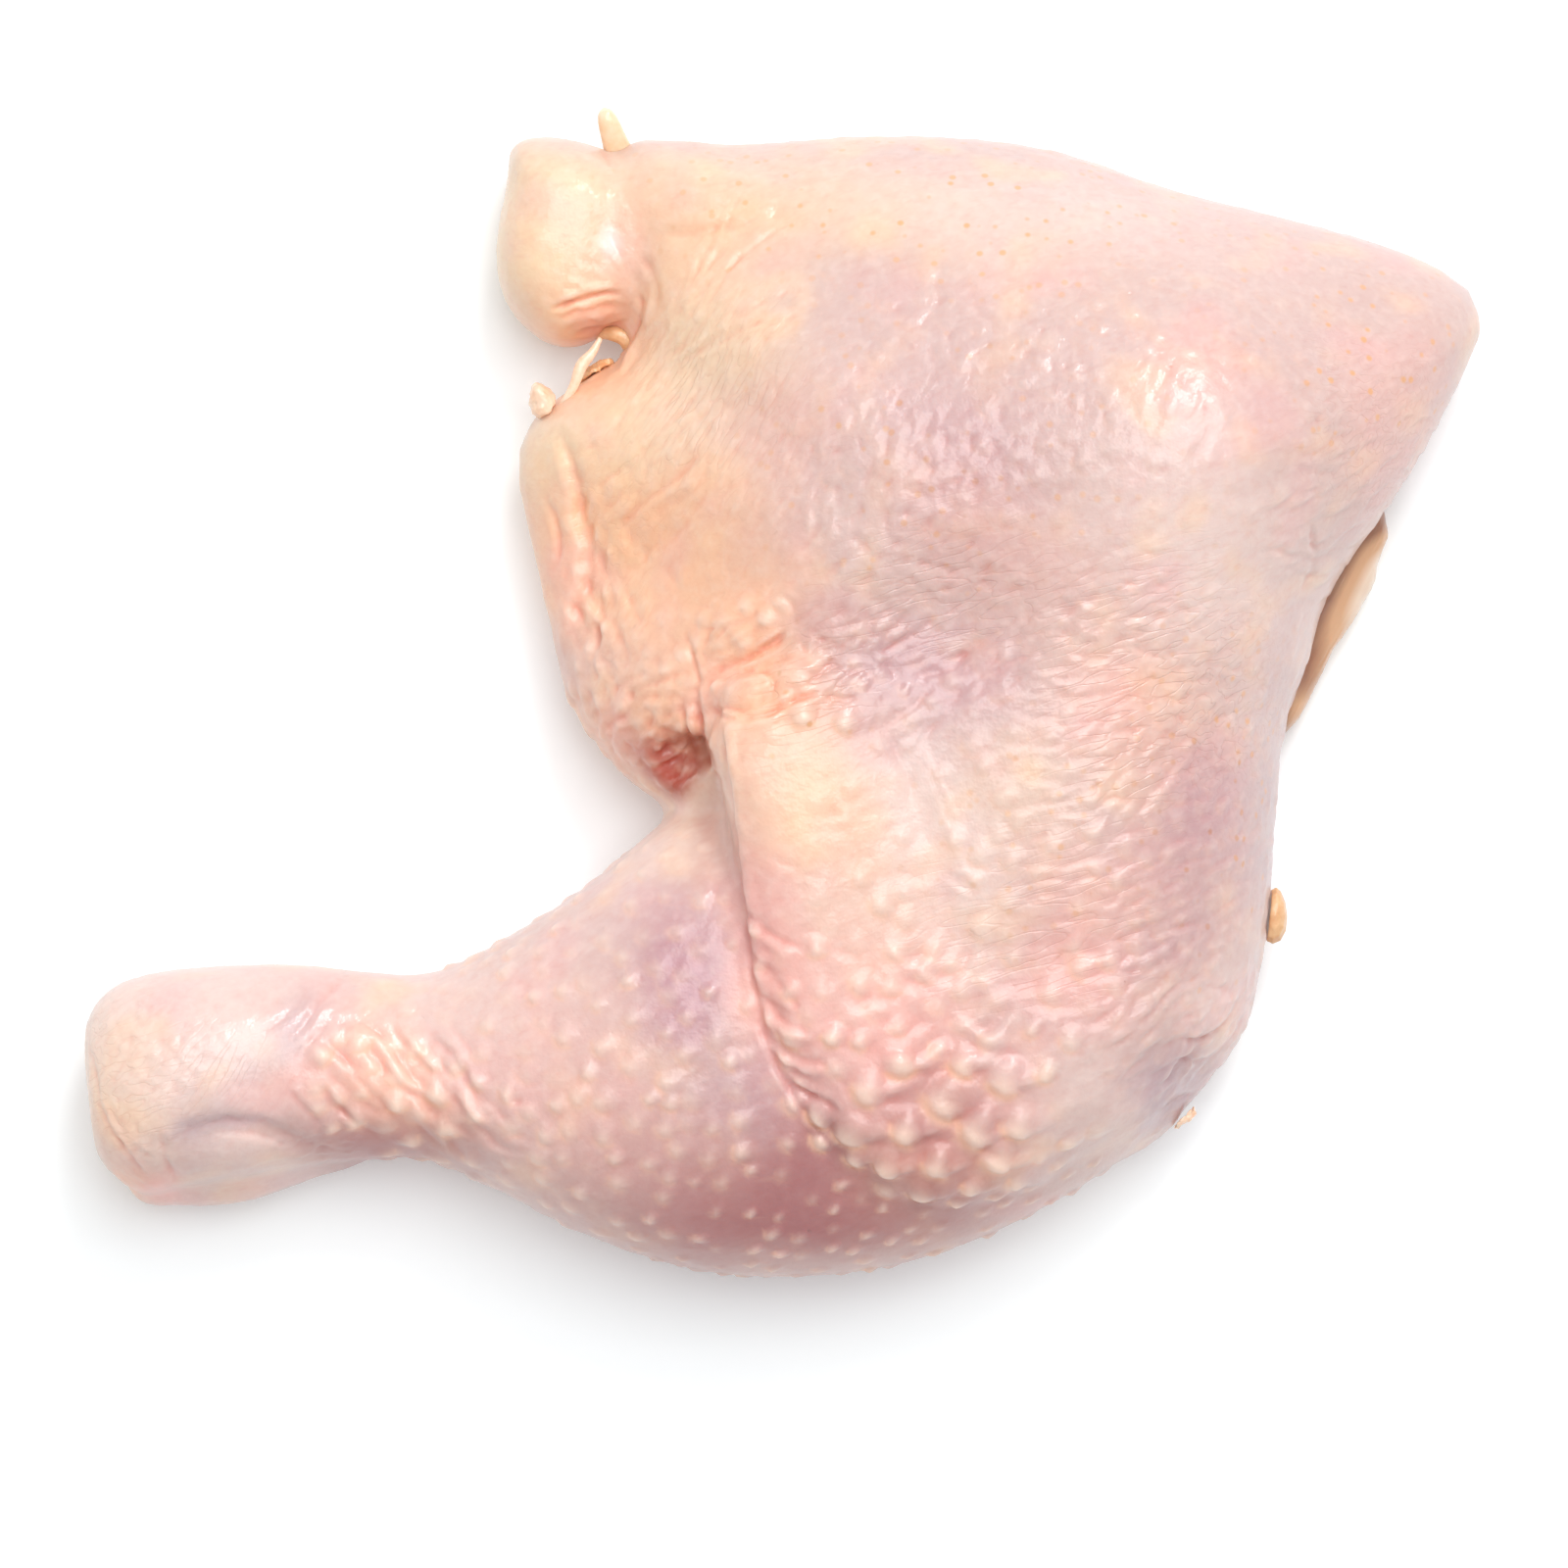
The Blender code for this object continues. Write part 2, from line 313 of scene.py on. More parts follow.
def folded(points, folds):
    """Fields of short soft folds, each falling off steeply on the right side of its run."""
    relief = np.zeros(len(points))
    for fold in folds:
        inside = zone(points, fold.at, fold.radii, fold.turn, 0.6)
        near = np.flatnonzero(inside > 0.01)
        inside = inside[near]
        if fold.around:
            plan = circling(points[near], fold.around, fold.at)
        else:
            plan = straight(points[near], fold.run)
        total = np.zeros(len(near))
        for i in scattered(plan / (fold.length, fold.spacing), 0.8):
            reach = 0.5 * fold.length * rng.uniform(0.5, 1.3)
            along = (plan[:, 0] - plan[i, 0]) / reach
            bend = rng.normal(0, 0.25) * along + rng.normal(0, 0.3) * along**2
            across = (plan[:, 1] - plan[i, 1]) / fold.spacing - bend
            height = inside[i] * rng.uniform(0.4, 1.3)
            back = np.exp(-((across / 0.6) ** 2))
            front = np.exp(-((across / (0.6 * fold.steep)) ** 2))
            trough = 0.5 * np.exp(-(((across + 0.9 * fold.steep + 0.12) / 0.22) ** 2))
            section = np.where(across > 0, back, front) - trough
            total += height * np.exp(-1.2 * along**2) * section
        relief[near] += fold.height * total
    return relief


def wrinkled(points, wrinkles):
    """Fields of small valleys that run one way, each field with its own size."""
    relief = np.zeros(len(points))
    for seed, wrinkle in enumerate(wrinkles):
        inside = zone(points, wrinkle.at, wrinkle.radii, 0, 0.7)
        near = inside > 0.001
        places = points[near]
        plan = straight(places, wrinkle.run)
        width = wrinkle.width
        sway = 0.8 * width * noise(places / (4 * width), 500 + seed)
        across = (plan[:, 1] + sway) / width
        laid = np.column_stack([plan[:, 0] / wrinkle.length, across, places[:, 2] / (2 * width)])
        valleys = -smoothstep(0.0, 0.8, noise(laid, 100 + seed))
        valleys -= 0.45 * smoothstep(0.0, 0.8, noise(1.9 * laid + 7.3, 300 + seed))
        patchy = 0.75 + 0.5 * noise(places / 7, 700 + seed)
        relief[near] += wrinkle.depth * inside[near] * patchy * (valleys + 0.4)
    return relief


def rays(centre, angles, inner, outer, count):
    """Thin creases that fan out from a centre, between two angles."""
    made = []
    for _ in range(count):
        angle = rng.uniform(*angles)
        start = rng.uniform(*inner)
        end = start + rng.uniform(*outer)
        bend = rng.uniform(-6, 10)
        route = []
        for share in (0, 0.35, 0.7, 1):
            turn = math.radians(angle + bend * share + rng.normal(0, 1.2))
            reach = start + (end - start) * share
            route.append((centre[0] + reach * math.cos(turn), centre[1] + reach * math.sin(turn)))
        depth = rng.uniform(0.08, 0.2)
        made.append(Crease(route, depth, 0.32, 0.35 * depth, fade=(0.3, 0.6)))
    return tuple(made)


def rolls(route, count, run, lengths):
    """Short creases that run off from a route."""
    path = smooth_route(route)
    made = []
    for i in np.linspace(0, len(path) - 1, count).astype(int):
        angle = math.radians(run + rng.normal(0, 9))
        bend = math.radians(rng.uniform(5, 25))
        length = rng.uniform(*lengths)
        stops = [path[i]]
        for part in range(3):
            turn = angle + part * bend
            stops.append(stops[-1] + length / 3 * np.array([math.cos(turn), math.sin(turn)]))
        depth = rng.uniform(0.1, 0.2)
        made.append(Crease(stops, depth, 0.36, 0.6 * depth, fade=(0.1, 0.7)))
    return tuple(made)


def reach_of(points, patch):
    """How deep in a patch of bumps each point lies."""
    return zone(points, patch.at, patch.radii, 0, 0.6)


def blended(points, patches, key):
    """A value of the patches at each point, mixed by how deep in each one the point is."""
    reaches = [reach_of(points, patch) for patch in patches]
    total = sum(reach * getattr(patch, key) for patch, reach in zip(patches, reaches))
    return total / sum(reaches).clip(1e-6)


class Follicles:
    """The goosebumps' places on the surface, spread evenly but not in rows."""

    KEYS = ("rise", "size", "broad", "point", "pale", "apart")
    TRIES = 30_000
    LOWEST = 2.0  # height over the ground below which there are none
    COARSE = 0.75  # rise above which a bump is a coarse one, with a step at its side
    STEP_RUN = math.radians(12)

    def __init__(self, surface, patches, lumps):
        points = surface.points
        normals = surface.normals()
        tries = rng.permutation(len(points))[: self.TRIES]
        covered = sum(reach_of(points[tries], patch) for patch in patches)
        tries = tries[(normals[tries, 2] > -0.25) & (points[tries, 2] > self.LOWEST) & (covered > 0.05)]
        values = {key: blended(points[tries], patches, key) for key in self.KEYS}
        places = np.empty((len(tries), 3))
        chosen = []
        for x, y, rise, size in lumps:
            nearest = np.argmin(np.hypot(points[tries, 0] - x, points[tries, 1] - y))
            values["rise"][nearest] = rise
            values["size"][nearest] = size
            values["broad"][nearest] = 0.8
            values["pale"][nearest] = min(1.0, 0.4 + rise)
            places[len(chosen)] = points[tries[nearest]]
            chosen.append(nearest)
        for i, place in enumerate(points[tries]):
            apart = values["apart"][i] * values["size"][i] * rng.uniform(0.8, 1.35)
            if (((places[: len(chosen)] - place) ** 2).sum(axis=1) > apart**2).all():
                places[len(chosen)] = place
                chosen.append(i)
        self.places = places[: len(chosen)]
        self.normals = normals[tries][chosen]
        self.values = {key: value[chosen] for key, value in values.items()}

    def side_step(self, away, size):
        """The step that runs on from the side of a coarse bump."""
        level = np.array([math.cos(self.STEP_RUN), math.sin(self.STEP_RUN)])
        on = away[:, :2] @ level / size - 0.9
        over = away[:, :2] @ (-level[1], level[0]) / size + 0.15 - 0.12 * on**2
        return np.exp(-((on / 0.85) ** 2) - (over / np.where(over > 0, 0.75, 0.22)) ** 2)

    def raise_on(self, surface):
        """The bumps' relief, how pale each point of the surface is, and the painted glow on the bumps'
        shaded front rims.
        """
        points = surface.points
        relief, pale, painted_glow = np.zeros((3, len(points)))
        tree = kdtree.KDTree(len(points))
        for i, point in enumerate(points):
            tree.insert(point, i)
        tree.balance()
        for i, (place, normal) in enumerate(zip(self.places, self.normals)):
            rise, size, broad, point, paleness, _ = (self.values[key][i] for key in self.KEYS)
            coarse = rise > self.COARSE
            size *= rng.uniform(0.75, 1.2)
            turn = math.radians(point + rng.normal(0, 16))
            ahead = np.array([math.cos(turn), math.sin(turn), 0.0])
            ahead -= normal * (ahead @ normal)
            ahead /= np.linalg.norm(ahead)
            aside = np.cross(normal, ahead)
            reach = 2.6 if coarse else 1.5
            near = np.array([index for _, index, _ in tree.find_range(place, reach * size)])
            if len(near) == 0:
                continue
            away = points[near] - place
            along, across = away @ ahead / size, away @ aside / size
            bow = rng.normal(0, 0.12)
            across = across - bow * along**2
            # a blunt steep front and a longer back that merges into the skin behind
            front = np.hypot(along / 0.6, across / broad)
            back = np.hypot(along / 1.35, across / (broad * (1 + 0.6 * np.clip(-along, 0, 1))))
            inside = np.clip(1 - np.where(along > 0, front, back) ** 2, 0, 1)
            blunt = np.interp(rise, (0.4, 1.0), (1.7, 0.9))
            mound = inside ** np.where(along > 0, blunt, 0.5 + 0.8 * blunt)
            foot = np.exp(-(((front - 1.12) / 0.2) ** 2)) * smoothstep(-0.1, 0.3, along)
            height = rise * (rng.uniform(0.75, 1.15) if coarse else rng.uniform(0.3, 1.3))
            if coarse:
                mound = np.maximum(mound, 0.55 * self.side_step(away, size))
            relief[near] = np.maximum(relief[near], height * mound) - 0.15 * height * foot / blunt**2
            tip = np.exp(-(((along - 0.1) / 0.5) ** 2) - (across / (0.75 * broad)) ** 2)
            pale[near] = np.maximum(pale[near], paleness * tip * min(1.0, height / rise + 0.1))
            # a painted glow, as of light through the skin, on the front rim that faces away from the light
            rim = np.exp(-(((front - 0.85) / 0.28) ** 2)) * smoothstep(0, 0.3, along)
            painted_glow[near] = np.maximum(painted_glow[near], min(1.0, 1.2 * height) * rim)
        return relief, pale, painted_glow


SWELLS = (
    Swell((47, -47), (11, 8), -1.4),  # the dent above the knee
    Swell((19, 8), (16, 12), -1.2),  # the dimpled dent in the thigh
    Swell((-9, 60), (17, 6), 1.0),  # the fat ridge that runs into the tail
    Swell((-21.5, 56), (4, 11), -0.5, -6),  # the tail's neck
    Swell((-12.2, -8.2), (4.2, 3.8), -5.0),  # the pocket beside the fold
    # the pads bunched above the fold
    Swell((-4.9, 8.2), (7.5, 5.2), 0.8, 15),
    Swell((-5.7, -0.2), (5.5, 3.0), 1.1, 10),
    Swell((1.5, 1.6), (5.0, 3.5), 0.6, 30),
    # the flap's soft rolls
    Swell((-27, 15), (4, 14), 0.9, 8),
    Swell((-19, 22), (6, 12), 0.7, -25),
    Swell((-17, 6), (7, 10), 0.6),
    # the hock's lower lobe, and the ankle's fat
    Swell((-65.2, -57.4), (11, 4.5), 0.5, 5),
    Swell((-77.9, -61.0), (4, 4), 0.7, 5),
    Swell((-47.9, -48.5), (10, 6), 0.6, -35),
)

CREASES = (
    # under the lip of the fold, where it laps over the drumstick
    Crease(((-7.6, -2.9), (-7.0, -8.9), (-6.2, -14.0), (-5.6, -20.0), (-4.4, -29.0), (-3.3, -36.5),
            (-1.1, -44.0), (1.9, -50.0), (6.3, -55.1), (10.9, -58.7)), 0.42, 0.5, 0.5, fade=(0.06, 0.6)),
    # a second lip beside the lower end of the crease
    Crease(((-3.8, -38.9), (-2.0, -42.5), (0.1, -47.1), (3.9, -52.6), (8.0, -56.7)), 0.22, 0.3, 0.18, -1),
    # the rolls that run from the fold's edge into it
    Crease(((-4.9, -25.5), (-3.3, -27.9), (-0.3, -30.1), (2.7, -30.8)), 0.27, 0.5, 0.24, -1),
    Crease(((-4.1, -30.3), (-2.3, -33.5), (0.8, -36.8), (2.7, -39.9)), 0.2, 0.5, 0.2, -1),
    Crease(((-3.4, -35.6), (-0.9, -38.9), (1.5, -40.4), (4.6, -41.6)), 0.25, 0.5, 0.27, -1),
    Crease(((-2.1, -40.7), (0.1, -43.0), (2.7, -44.5), (6.1, -44.9)), 0.29, 0.5, 0.27, -1),
    Crease(((0.1, -46.1), (2.2, -48.1), (5.1, -49.3), (7.5, -50.9)), 0.34, lip=0.2),
    # the edges of thin skin down the far side of the fold
    Crease(((13.5, -3.2), (16.6, -8.9), (18.9, -15.2), (20.9, -20.0), (22.7, -24.8)),
           -0.16, 0.7, fade=(0.5, 0.3)),
    Crease(((15.9, -5.6), (18.7, -11.3), (21.4, -17.3)), -0.14, 0.35),
    Crease(((11.6, -3.7), (13.9, -8.3), (16.3, -14.9)), 0.17, 0.8),
    Crease(((19.0, -22.4), (20.7, -24.1), (23.1, -25.0)), -0.2),
    Crease(((19.5, -21.4), (21.7, -21.9), (23.5, -23.6)), -0.17, 0.35),
    # the folds bunched above the fold's top edge
    Crease(((-10.5, 1.9), (-10.9, 5.2), (-10.0, 8.8), (-8.0, 11.2)), 0.22, fade=(0.4, 0.5)),
    Crease(((-9.3, 5.2), (-7.0, 7.4), (-4.7, 8.3)), 0.2, 0.35, 0.12),
    Crease(((-1.5, 11.9), (0.8, 10.3), (1.4, 7.9)), 0.2, fade=(0.5, 0.4)),
    Crease(((-9.3, 1.4), (-7.4, 2.5), (-5.0, 3.5), (-2.6, 4.7), (-0.5, 6.1), (0.8, 7.9)), 0.75, 0.42, 0.24),
    Crease(((-8.7, 2.3), (-6.5, 3.5), (-4.3, 4.7), (-2.3, 6.4)), 0.27, 0.3),
    Crease(((-8.2, 0.7), (-5.9, 1.9), (-3.3, 2.6), (-0.9, 4.0)), 0.27, 0.3),
    Crease(((-10.0, 3.5), (-9.3, 6.1), (-7.9, 8.3)), 0.24, 0.35),
    Crease(((-11.9, 7.9), (-11.2, 4.5), (-10.3, 1.4), (-10.5, -1.3)), 0.31, lip=0.2),
    Crease(((-9.5, -1.3), (-8.7, 0.8), (-6.7, 1.9), (-3.8, 2.3), (-1.6, 1.6), (-1.3, -0.3), (-2.6, -2.0)),
           0.34, 0.36, 0.17, -1),
    Crease(((-9.3, -2.8), (-7.1, -2.3), (-4.7, -2.6), (-2.6, -1.4), (-1.5, 0.3)), 0.41, 0.35),
    Crease(((-6.2, -3.8), (-2.9, -3.3), (-0.3, -2.3), (2.2, -1.1), (4.6, -0.1)), 0.75, 0.42, 0.34, -1),
    Crease(((-8.8, -2.0), (-7.1, -3.3), (-5.1, -3.8)), 0.34, 0.35, 0.2),
    Crease(((0.1, -1.5), (2.5, 0.2), (4.1, 1.6), (5.6, 3.5)), 0.31),
    Crease(((4.4, -0.3), (7.0, -1.3), (9.4, -0.9)), 0.34),
    Crease(((1.5, 6.1), (3.2, 4.0), (5.5, 2.8), (8.0, 2.6)), 0.27),
    Crease(((2.2, 7.9), (4.9, 5.9), (7.5, 5.5)), 0.2),
    # the pocket's folded rims and the strands across it
    Crease(((-10.5, 0.7), (-10.0, -4.7), (-8.8, -9.2), (-7.4, -11.3)), 0.61, 0.5, 0.41),
    Crease(((-12.2, -0.8), (-11.7, -4.4), (-10.0, -8.0)), 0.41, lip=0.34),
    Crease(((-13.9, -11.3), (-12.4, -10.4), (-11.0, -8.9)), -0.41),
    Crease(((-12.7, -12.1), (-11.2, -10.9), (-9.8, -10.1)), -0.34, 0.35),
    Crease(((-16.5, -8.5), (-13.9, -7.0), (-11.9, -5.8)), 0.41, lip=0.2),
    Crease(((-15.8, -9.9), (-13.4, -8.5), (-11.7, -7.7)), 0.34, 0.35, 0.2),
    Crease(((-17.2, -6.8), (-14.8, -5.1), (-12.7, -4.4)), 0.27, 0.35, 0.2),
    # the rolls along the flap's rim
    Crease(((-27.8, 33.1), (-25.9, 28.0), (-24.8, 22.5), (-23.7, 15.5), (-25.3, 8.5), (-24.7, 3.1)),
           0.61, 0.8, 0.34, -1),
    Crease(((-29.5, 25.0), (-27.4, 19.0), (-28.3, 13.0)), 0.41, 0.5),
    Crease(((-23.5, 9.5), (-22.5, 6.7), (-23.2, 3.8), (-22.1, 0.2)), 0.34, lip=0.2),
    Crease(((-21.7, 20.0), (-22.4, 14.0), (-22.0, 9.1), (-23.0, 4.0)), 0.31, 0.6),
    Crease(((-20.1, 7.9), (-19.1, 4.5), (-19.6, 1.1)), 0.2),
    # the slanting lines on the flap
    Crease(((-24.7, 23.6), (-19.1, 27.1), (-14.3, 31.6), (-9.5, 36.4)), 0.24),
    Crease(((-21.4, 17.6), (-17.8, 22.0), (-12.7, 25.6), (-8.6, 31.0)), 0.27, 0.5),
    Crease(((-14.6, 16.4), (-11.0, 21.1), (-7.4, 26.6)), 0.2, 0.5),
    Crease(((-25.6, 28.3), (-21.5, 31.1), (-17.7, 35.2)), 0.2),
    Crease(((-19.1, 12.7), (-15.8, 17.5), (-13.1, 20.3)), 0.2, 0.5),
    # the tail's folds, which gather at the notch
    Crease(((-29.0, 46.1), (-26.3, 47.1), (-23.7, 47.9), (-21.3, 48.4), (-19.0, 48.3)), 0.68, 0.42, 0.34),
    Crease(((-28.0, 45.1), (-25.4, 46.0), (-22.5, 46.7), (-19.4, 47.0)), 0.34, 0.35, 0.2, -1),
    Crease(((-26.1, 43.1), (-23.7, 44.1), (-21.3, 44.7), (-18.9, 45.3)), 0.41, lip=0.2),
    Crease(((-19.1, 48.9), (-22.5, 50.1), (-26.6, 50.6)), 0.12, 0.32),
    Crease(((-19.1, 49.4), (-22.3, 51.5), (-25.9, 53.0)), 0.12, 0.32),
    Crease(((-19.0, 49.9), (-21.7, 52.7), (-24.4, 55.1)), 0.12, 0.32),
    Crease(((-18.8, 50.3), (-20.1, 53.2), (-21.8, 56.3)), 0.17, 0.32),
    Crease(((-22.5, 65.7), (-21.8, 61.9), (-21.1, 57.7), (-19.9, 53.2), (-18.2, 48.7)), 0.15, 1.3),
    Crease(((-22.4, 66.4), (-21.3, 64.7), (-20.3, 63.3)), 0.27, 0.5),
    Crease(((-17.9, 55.7), (-13.1, 55.4), (-7.7, 55.9), (-2.9, 56.8), (0.8, 58.0)),
           0.22, 0.7, 0.25, fade=(0.4, 0.6)),
    Crease(((-17.3, 53.2), (-15.8, 49.9), (-15.3, 45.7)), 0.27, 0.5),
    Crease(((-16.0, 49.1), (-16.3, 46.5), (-17.3, 43.9), (-19.1, 40.5), (-20.3, 37.9)), -0.34, 0.45),
    Crease(((-17.7, 49.1), (-17.5, 46.5), (-18.3, 43.9), (-19.9, 41.2)), 0.41),
    # the star of creases at the thigh's cut edge
    Crease(((63.3, 20.5), (64.3, 16.4), (68.6, 17.9)), 0.34),
    Crease(((58.0, 17.0), (61.5, 16.0), (64.3, 16.4)), 0.24),
    Crease(((64.3, 16.4), (63.7, 13.9), (62.2, 11.2)), 0.24),
    # the hock's groove, its ankle lines and the folds at its cut end
    Crease(((-74.6, -57.9), (-73.1, -54.8), (-71.0, -53.1), (-67.4, -52.3), (-63.5, -53.0), (-59.9, -54.3),
            (-55.4, -55.9), (-50.8, -56.0)), 0.6, 1.1, 0.1, fade=(0.5, 0.3)),
    Crease(((-71.3, -54.5), (-67.1, -53.5), (-62.8, -54.3), (-59.5, -56.0)), 0.24),
    Crease(((-62.0, -44.6), (-58.1, -40.4), (-55.6, -37.0), (-52.3, -34.7)), 0.2, 0.45),
    Crease(((-64.6, -42.8), (-60.4, -39.5), (-57.5, -36.3)), 0.14),
    Crease(((-59.9, -45.4), (-56.3, -41.6), (-53.9, -37.7)), 0.15, 0.35),
    Crease(((-83.5, -47.3), (-82.3, -51.7), (-79.6, -56.0), (-76.3, -60.5)), 0.24, lip=0.2),
    Crease(((-82.5, -48.3), (-80.8, -52.1), (-77.9, -56.7), (-74.6, -60.1)), 0.12, 0.35, 0.1),
    Crease(((-84.2, -43.3), (-83.6, -46.4), (-83.0, -49.5)), 0.24, 0.35),
    Crease(((-75.5, -53.3), (-74.8, -56.9), (-73.6, -60.8)), 0.31, 0.5),
    # the creases between the ankle's ridges of fat
    Crease(((-48.7, -39.9), (-45.8, -42.8), (-43.4, -45.4), (-41.2, -47.1)), 0.26, 0.5, 0.22),
    Crease(((-51.5, -40.9), (-49.1, -44.5), (-46.7, -47.6), (-44.1, -49.7)), 0.3, 0.53, 0.27),
    Crease(((-54.2, -42.8), (-51.8, -46.4), (-49.1, -49.7), (-46.3, -52.1)), 0.26, 0.53, 0.27),
    Crease(((-57.1, -46.6), (-54.2, -50.2), (-51.1, -52.9), (-48.2, -54.5)), 0.26, 0.5, 0.22),
    Crease(((-60.2, -48.1), (-58.0, -50.5), (-55.9, -52.9)), 0.23, 0.44, 0.22),
    Crease(((-43.1, -42.1), (-40.5, -43.7), (-37.9, -47.3), (-35.9, -49.5)), 0.23, 0.5, 0.22),
    Crease(((-40.5, -48.5), (-37.9, -51.4), (-35.2, -54.5)), 0.23, 0.5, 0.22),
    Crease(((-45.5, -50.9), (-43.1, -53.6), (-40.5, -55.7)), 0.23, 0.5, 0.22),
    # rolled wrinkles by the knee's rim
    Crease(((46.6, -41.6), (50.5, -42.2), (53.6, -40.0), (56.0, -36.5)), 0.46, lip=0.2),
    Crease(((46.0, -44.2), (50.9, -44.9), (54.4, -42.5), (56.6, -39.5)), 0.42, lip=0.2),
    Crease(((45.7, -48.5), (47.6, -45.4), (50.5, -43.0)), 0.38, lip=0.2),
    Crease(((45.2, -51.7), (47.6, -50.0), (50.7, -48.8)), 0.34, lip=0.2),
)

# where thin creases fan out over the thigh, and the fold's edge, with short rolls along it
NOTCH = (-19.1, 36.4)
FOLD_EDGE = ((-4.3, -26.9), (-2.8, -36.5), (-0.7, -44.0), (2.3, -50.0))

FOLDS = (
    # near-level terraces over the coarse bumps, and between them
    Fold((21.1, -40.7), (17, 12), 5, 2.8, 0.35, 0.4, around=(10, 10)),
    Fold((12.7, -35.3), (10, 9), 6, 3.0, 0.24, 0.4, around=(10, 10)),
    Fold((19.9, -54.5), (17, 8), 6, 3.0, 0.3, 0.45, around=(10, 10)),
    Fold((31.3, -32.9), (14, 14), 6, 2.3, 0.15, 0.45, around=(6, 30)),
    # fine folds over the outer side of the thigh
    Fold((43.3, -18.5), (24, 26), 5, 1.6, 0.2, around=(2, 62)),
    Fold((42.1, 1.9), (22, 16), 4, 1.5, 0.14, around=(20, 90)),
    Fold((46.9, -41.3), (14, 14), 4.5, 1.5, 0.24, run=40),
    Fold((66.1, 21.1), (12, 14), 5, 1.5, 0.2, run=22),
    Fold((72.1, 33.1), (14, 16), 5, 1.4, 0.16, run=28),
    # slanting streaks beside the notch
    Fold((-7.7, 39.1), (15, 17), 7, 1.1, 0.16, 0.4, 54, turn=50),
    Fold((-1.1, 24.7), (12, 14), 5, 1.1, 0.14, 0.4, 66),
    # the flap's loose skin
    Fold((-23.9, 13.9), (7, 20), 6, 2.0, 0.3, 0.5, 98),
    Fold((-16.7, 27.1), (11, 12), 6, 2.0, 0.22, 0.5, 45),
    Fold((-15.5, -1.7), (9, 8), 3.2, 1.6, 0.3, 0.4, around=(-11.5, -9)),
    Fold((-4.1, 6.1), (9, 9), 4, 1.2, 0.2, run=28),
    Fold((0.1, 0.7), (8, 6), 4, 1.3, 0.2, run=20),
    Fold((7.3, 5.5), (9, 8), 3.2, 1.6, 0.2, run=35),
    # the ankle's slanting ridges, and the hock's skin
    Fold((-47.9, -46.7), (14, 10), 6, 2.5, 0.34, run=137),
    Fold((-35.9, -53.3), (10, 8), 5.5, 2.4, 0.31, run=130),
    Fold((-55.1, -38.9), (8, 7), 4.5, 1.1, 0.09, 0.7, 52),
    Fold((-77.9, -46.1), (9, 16), 5, 1.1, 0.12, 0.6, 68),
    Fold((-73.1, -42.5), (14, 10), 3.5, 1.1, 0.1, 0.6, -35),
    Fold((-79.1, -55.7), (7, 8), 5, 1.4, 0.17, run=-52),
    Fold((-65.9, -58.1), (10, 4), 4, 1.2, 0.1, run=15),
    Fold((-56.3, -55.1), (7, 4), 2.6, 1.0, 0.2, run=20),
    # the tail's folds
    Fold((-23.9, 46.3), (6, 5), 4, 1.1, 0.17, run=8),
    Fold((-19.1, 57.7), (6, 6), 2.5, 1.1, 0.08, 0.7, -60),
    Fold((-9.5, 58.9), (11, 6), 2.5, 1.6, 0.08, 0.7, 60),
    # faint streaks down the drumstick beside the crease
    Fold((-9.8, -34.1), (6, 15), 4, 0.9, 0.05, 0.8, 84),
)

WRINKLES = (
    # the dimpled middle
    Wrinkle((20, 9), (24, 15), 20, 2.8, 2.2, 0.5),
    Wrinkle((14, 2), (22, 12), 35, 4.5, 1.4, 0.42),
    Wrinkle((10, 24), (22, 20), 60, 2.6, 1.4, 0.3),
    Wrinkle((30, 36), (36, 24), 72, 2.4, 1.1, 0.2),
    Wrinkle((40, 4), (24, 22), 15, 3, 1.2, 0.22),
    Wrinkle((20, 60), (60, 12), 5, 3.0, 1.8, 0.12),
    # the flap's loose skin
    Wrinkle((-20, 8), (14, 22), 95, 3, 2.2, 0.32),
    Wrinkle((-17, -2), (12, 12), 40, 1.8, 1.4, 0.42),
    Wrinkle((-74, -46), (18, 18), 60, 1.8, 0.9, 0.12),
    Wrinkle((4, -50), (7, 12), -50, 4, 1.4, 0.28),
    Wrinkle((6, -20), (16, 16), 0, 3.2, 1.8, 0.17),
    Wrinkle((50, -42), (12, 12), 40, 3.2, 1.4, 0.3),
    Wrinkle((-20, -44), (34, 26), 50, 3, 1.6, 0.14),
)

FOLLICLES = (
    Bumps((-20, -44), (32, 28), 0.4, 1.8, 0.75, 225, 0.6, 1.7),
    Bumps((-8, -30), (11, 15), 0.2, 1.8, 0.6, 232, 0.3, 1.75),
    Bumps((-43, -47), (15, 14), 0.34, 2.1, 0.75, 300, 0.6, 1.9),
    Bumps((10, -64), (40, 11), 0.42, 1.4, 0.55, 225, 0.5, 2.2),
    Bumps((20, -51), (20, 12), 0.6, 2.5, 0.6, 232, 0.9, 1.75),
    Bumps((10, -34), (18, 14), 0.42, 2.1, 0.75, 240, 0.5, 1.5),
    Bumps((30, -28), (20, 16), 0.34, 2.0, 0.75, 230, 0.5, 1.5),
    Bumps((50, -34), (14, 28), 0.17, 1.8, 0.6, 230, 0.2, 1.5),
    Bumps((40, -2), (30, 20), 0.2, 1.9, 0.7, 230, 0.2, 1.5),
    Bumps((20, 30), (50, 34), 0.16, 1.9, 0.7, 230, 0.1, 1.5),
    Bumps((20, 60), (60, 14), 0.13, 1.8, 0.7, 230, 0.1, 1.75),
    Bumps((-15, -1), (12, 12), 0.34, 1.6, 0.85, 240, 0.4, 1.75),
    Bumps((-16, 24), (14, 18), 0.2, 1.9, 0.7, 240, 0.1, 1.6),
    Bumps((0, 3), (12, 10), 0.34, 1.6, 0.85, 250, 0.6, 1.75),
    Bumps((4, -16), (14, 14), 0.16, 2.0, 0.8, 230, 0.2, 1.75),
)

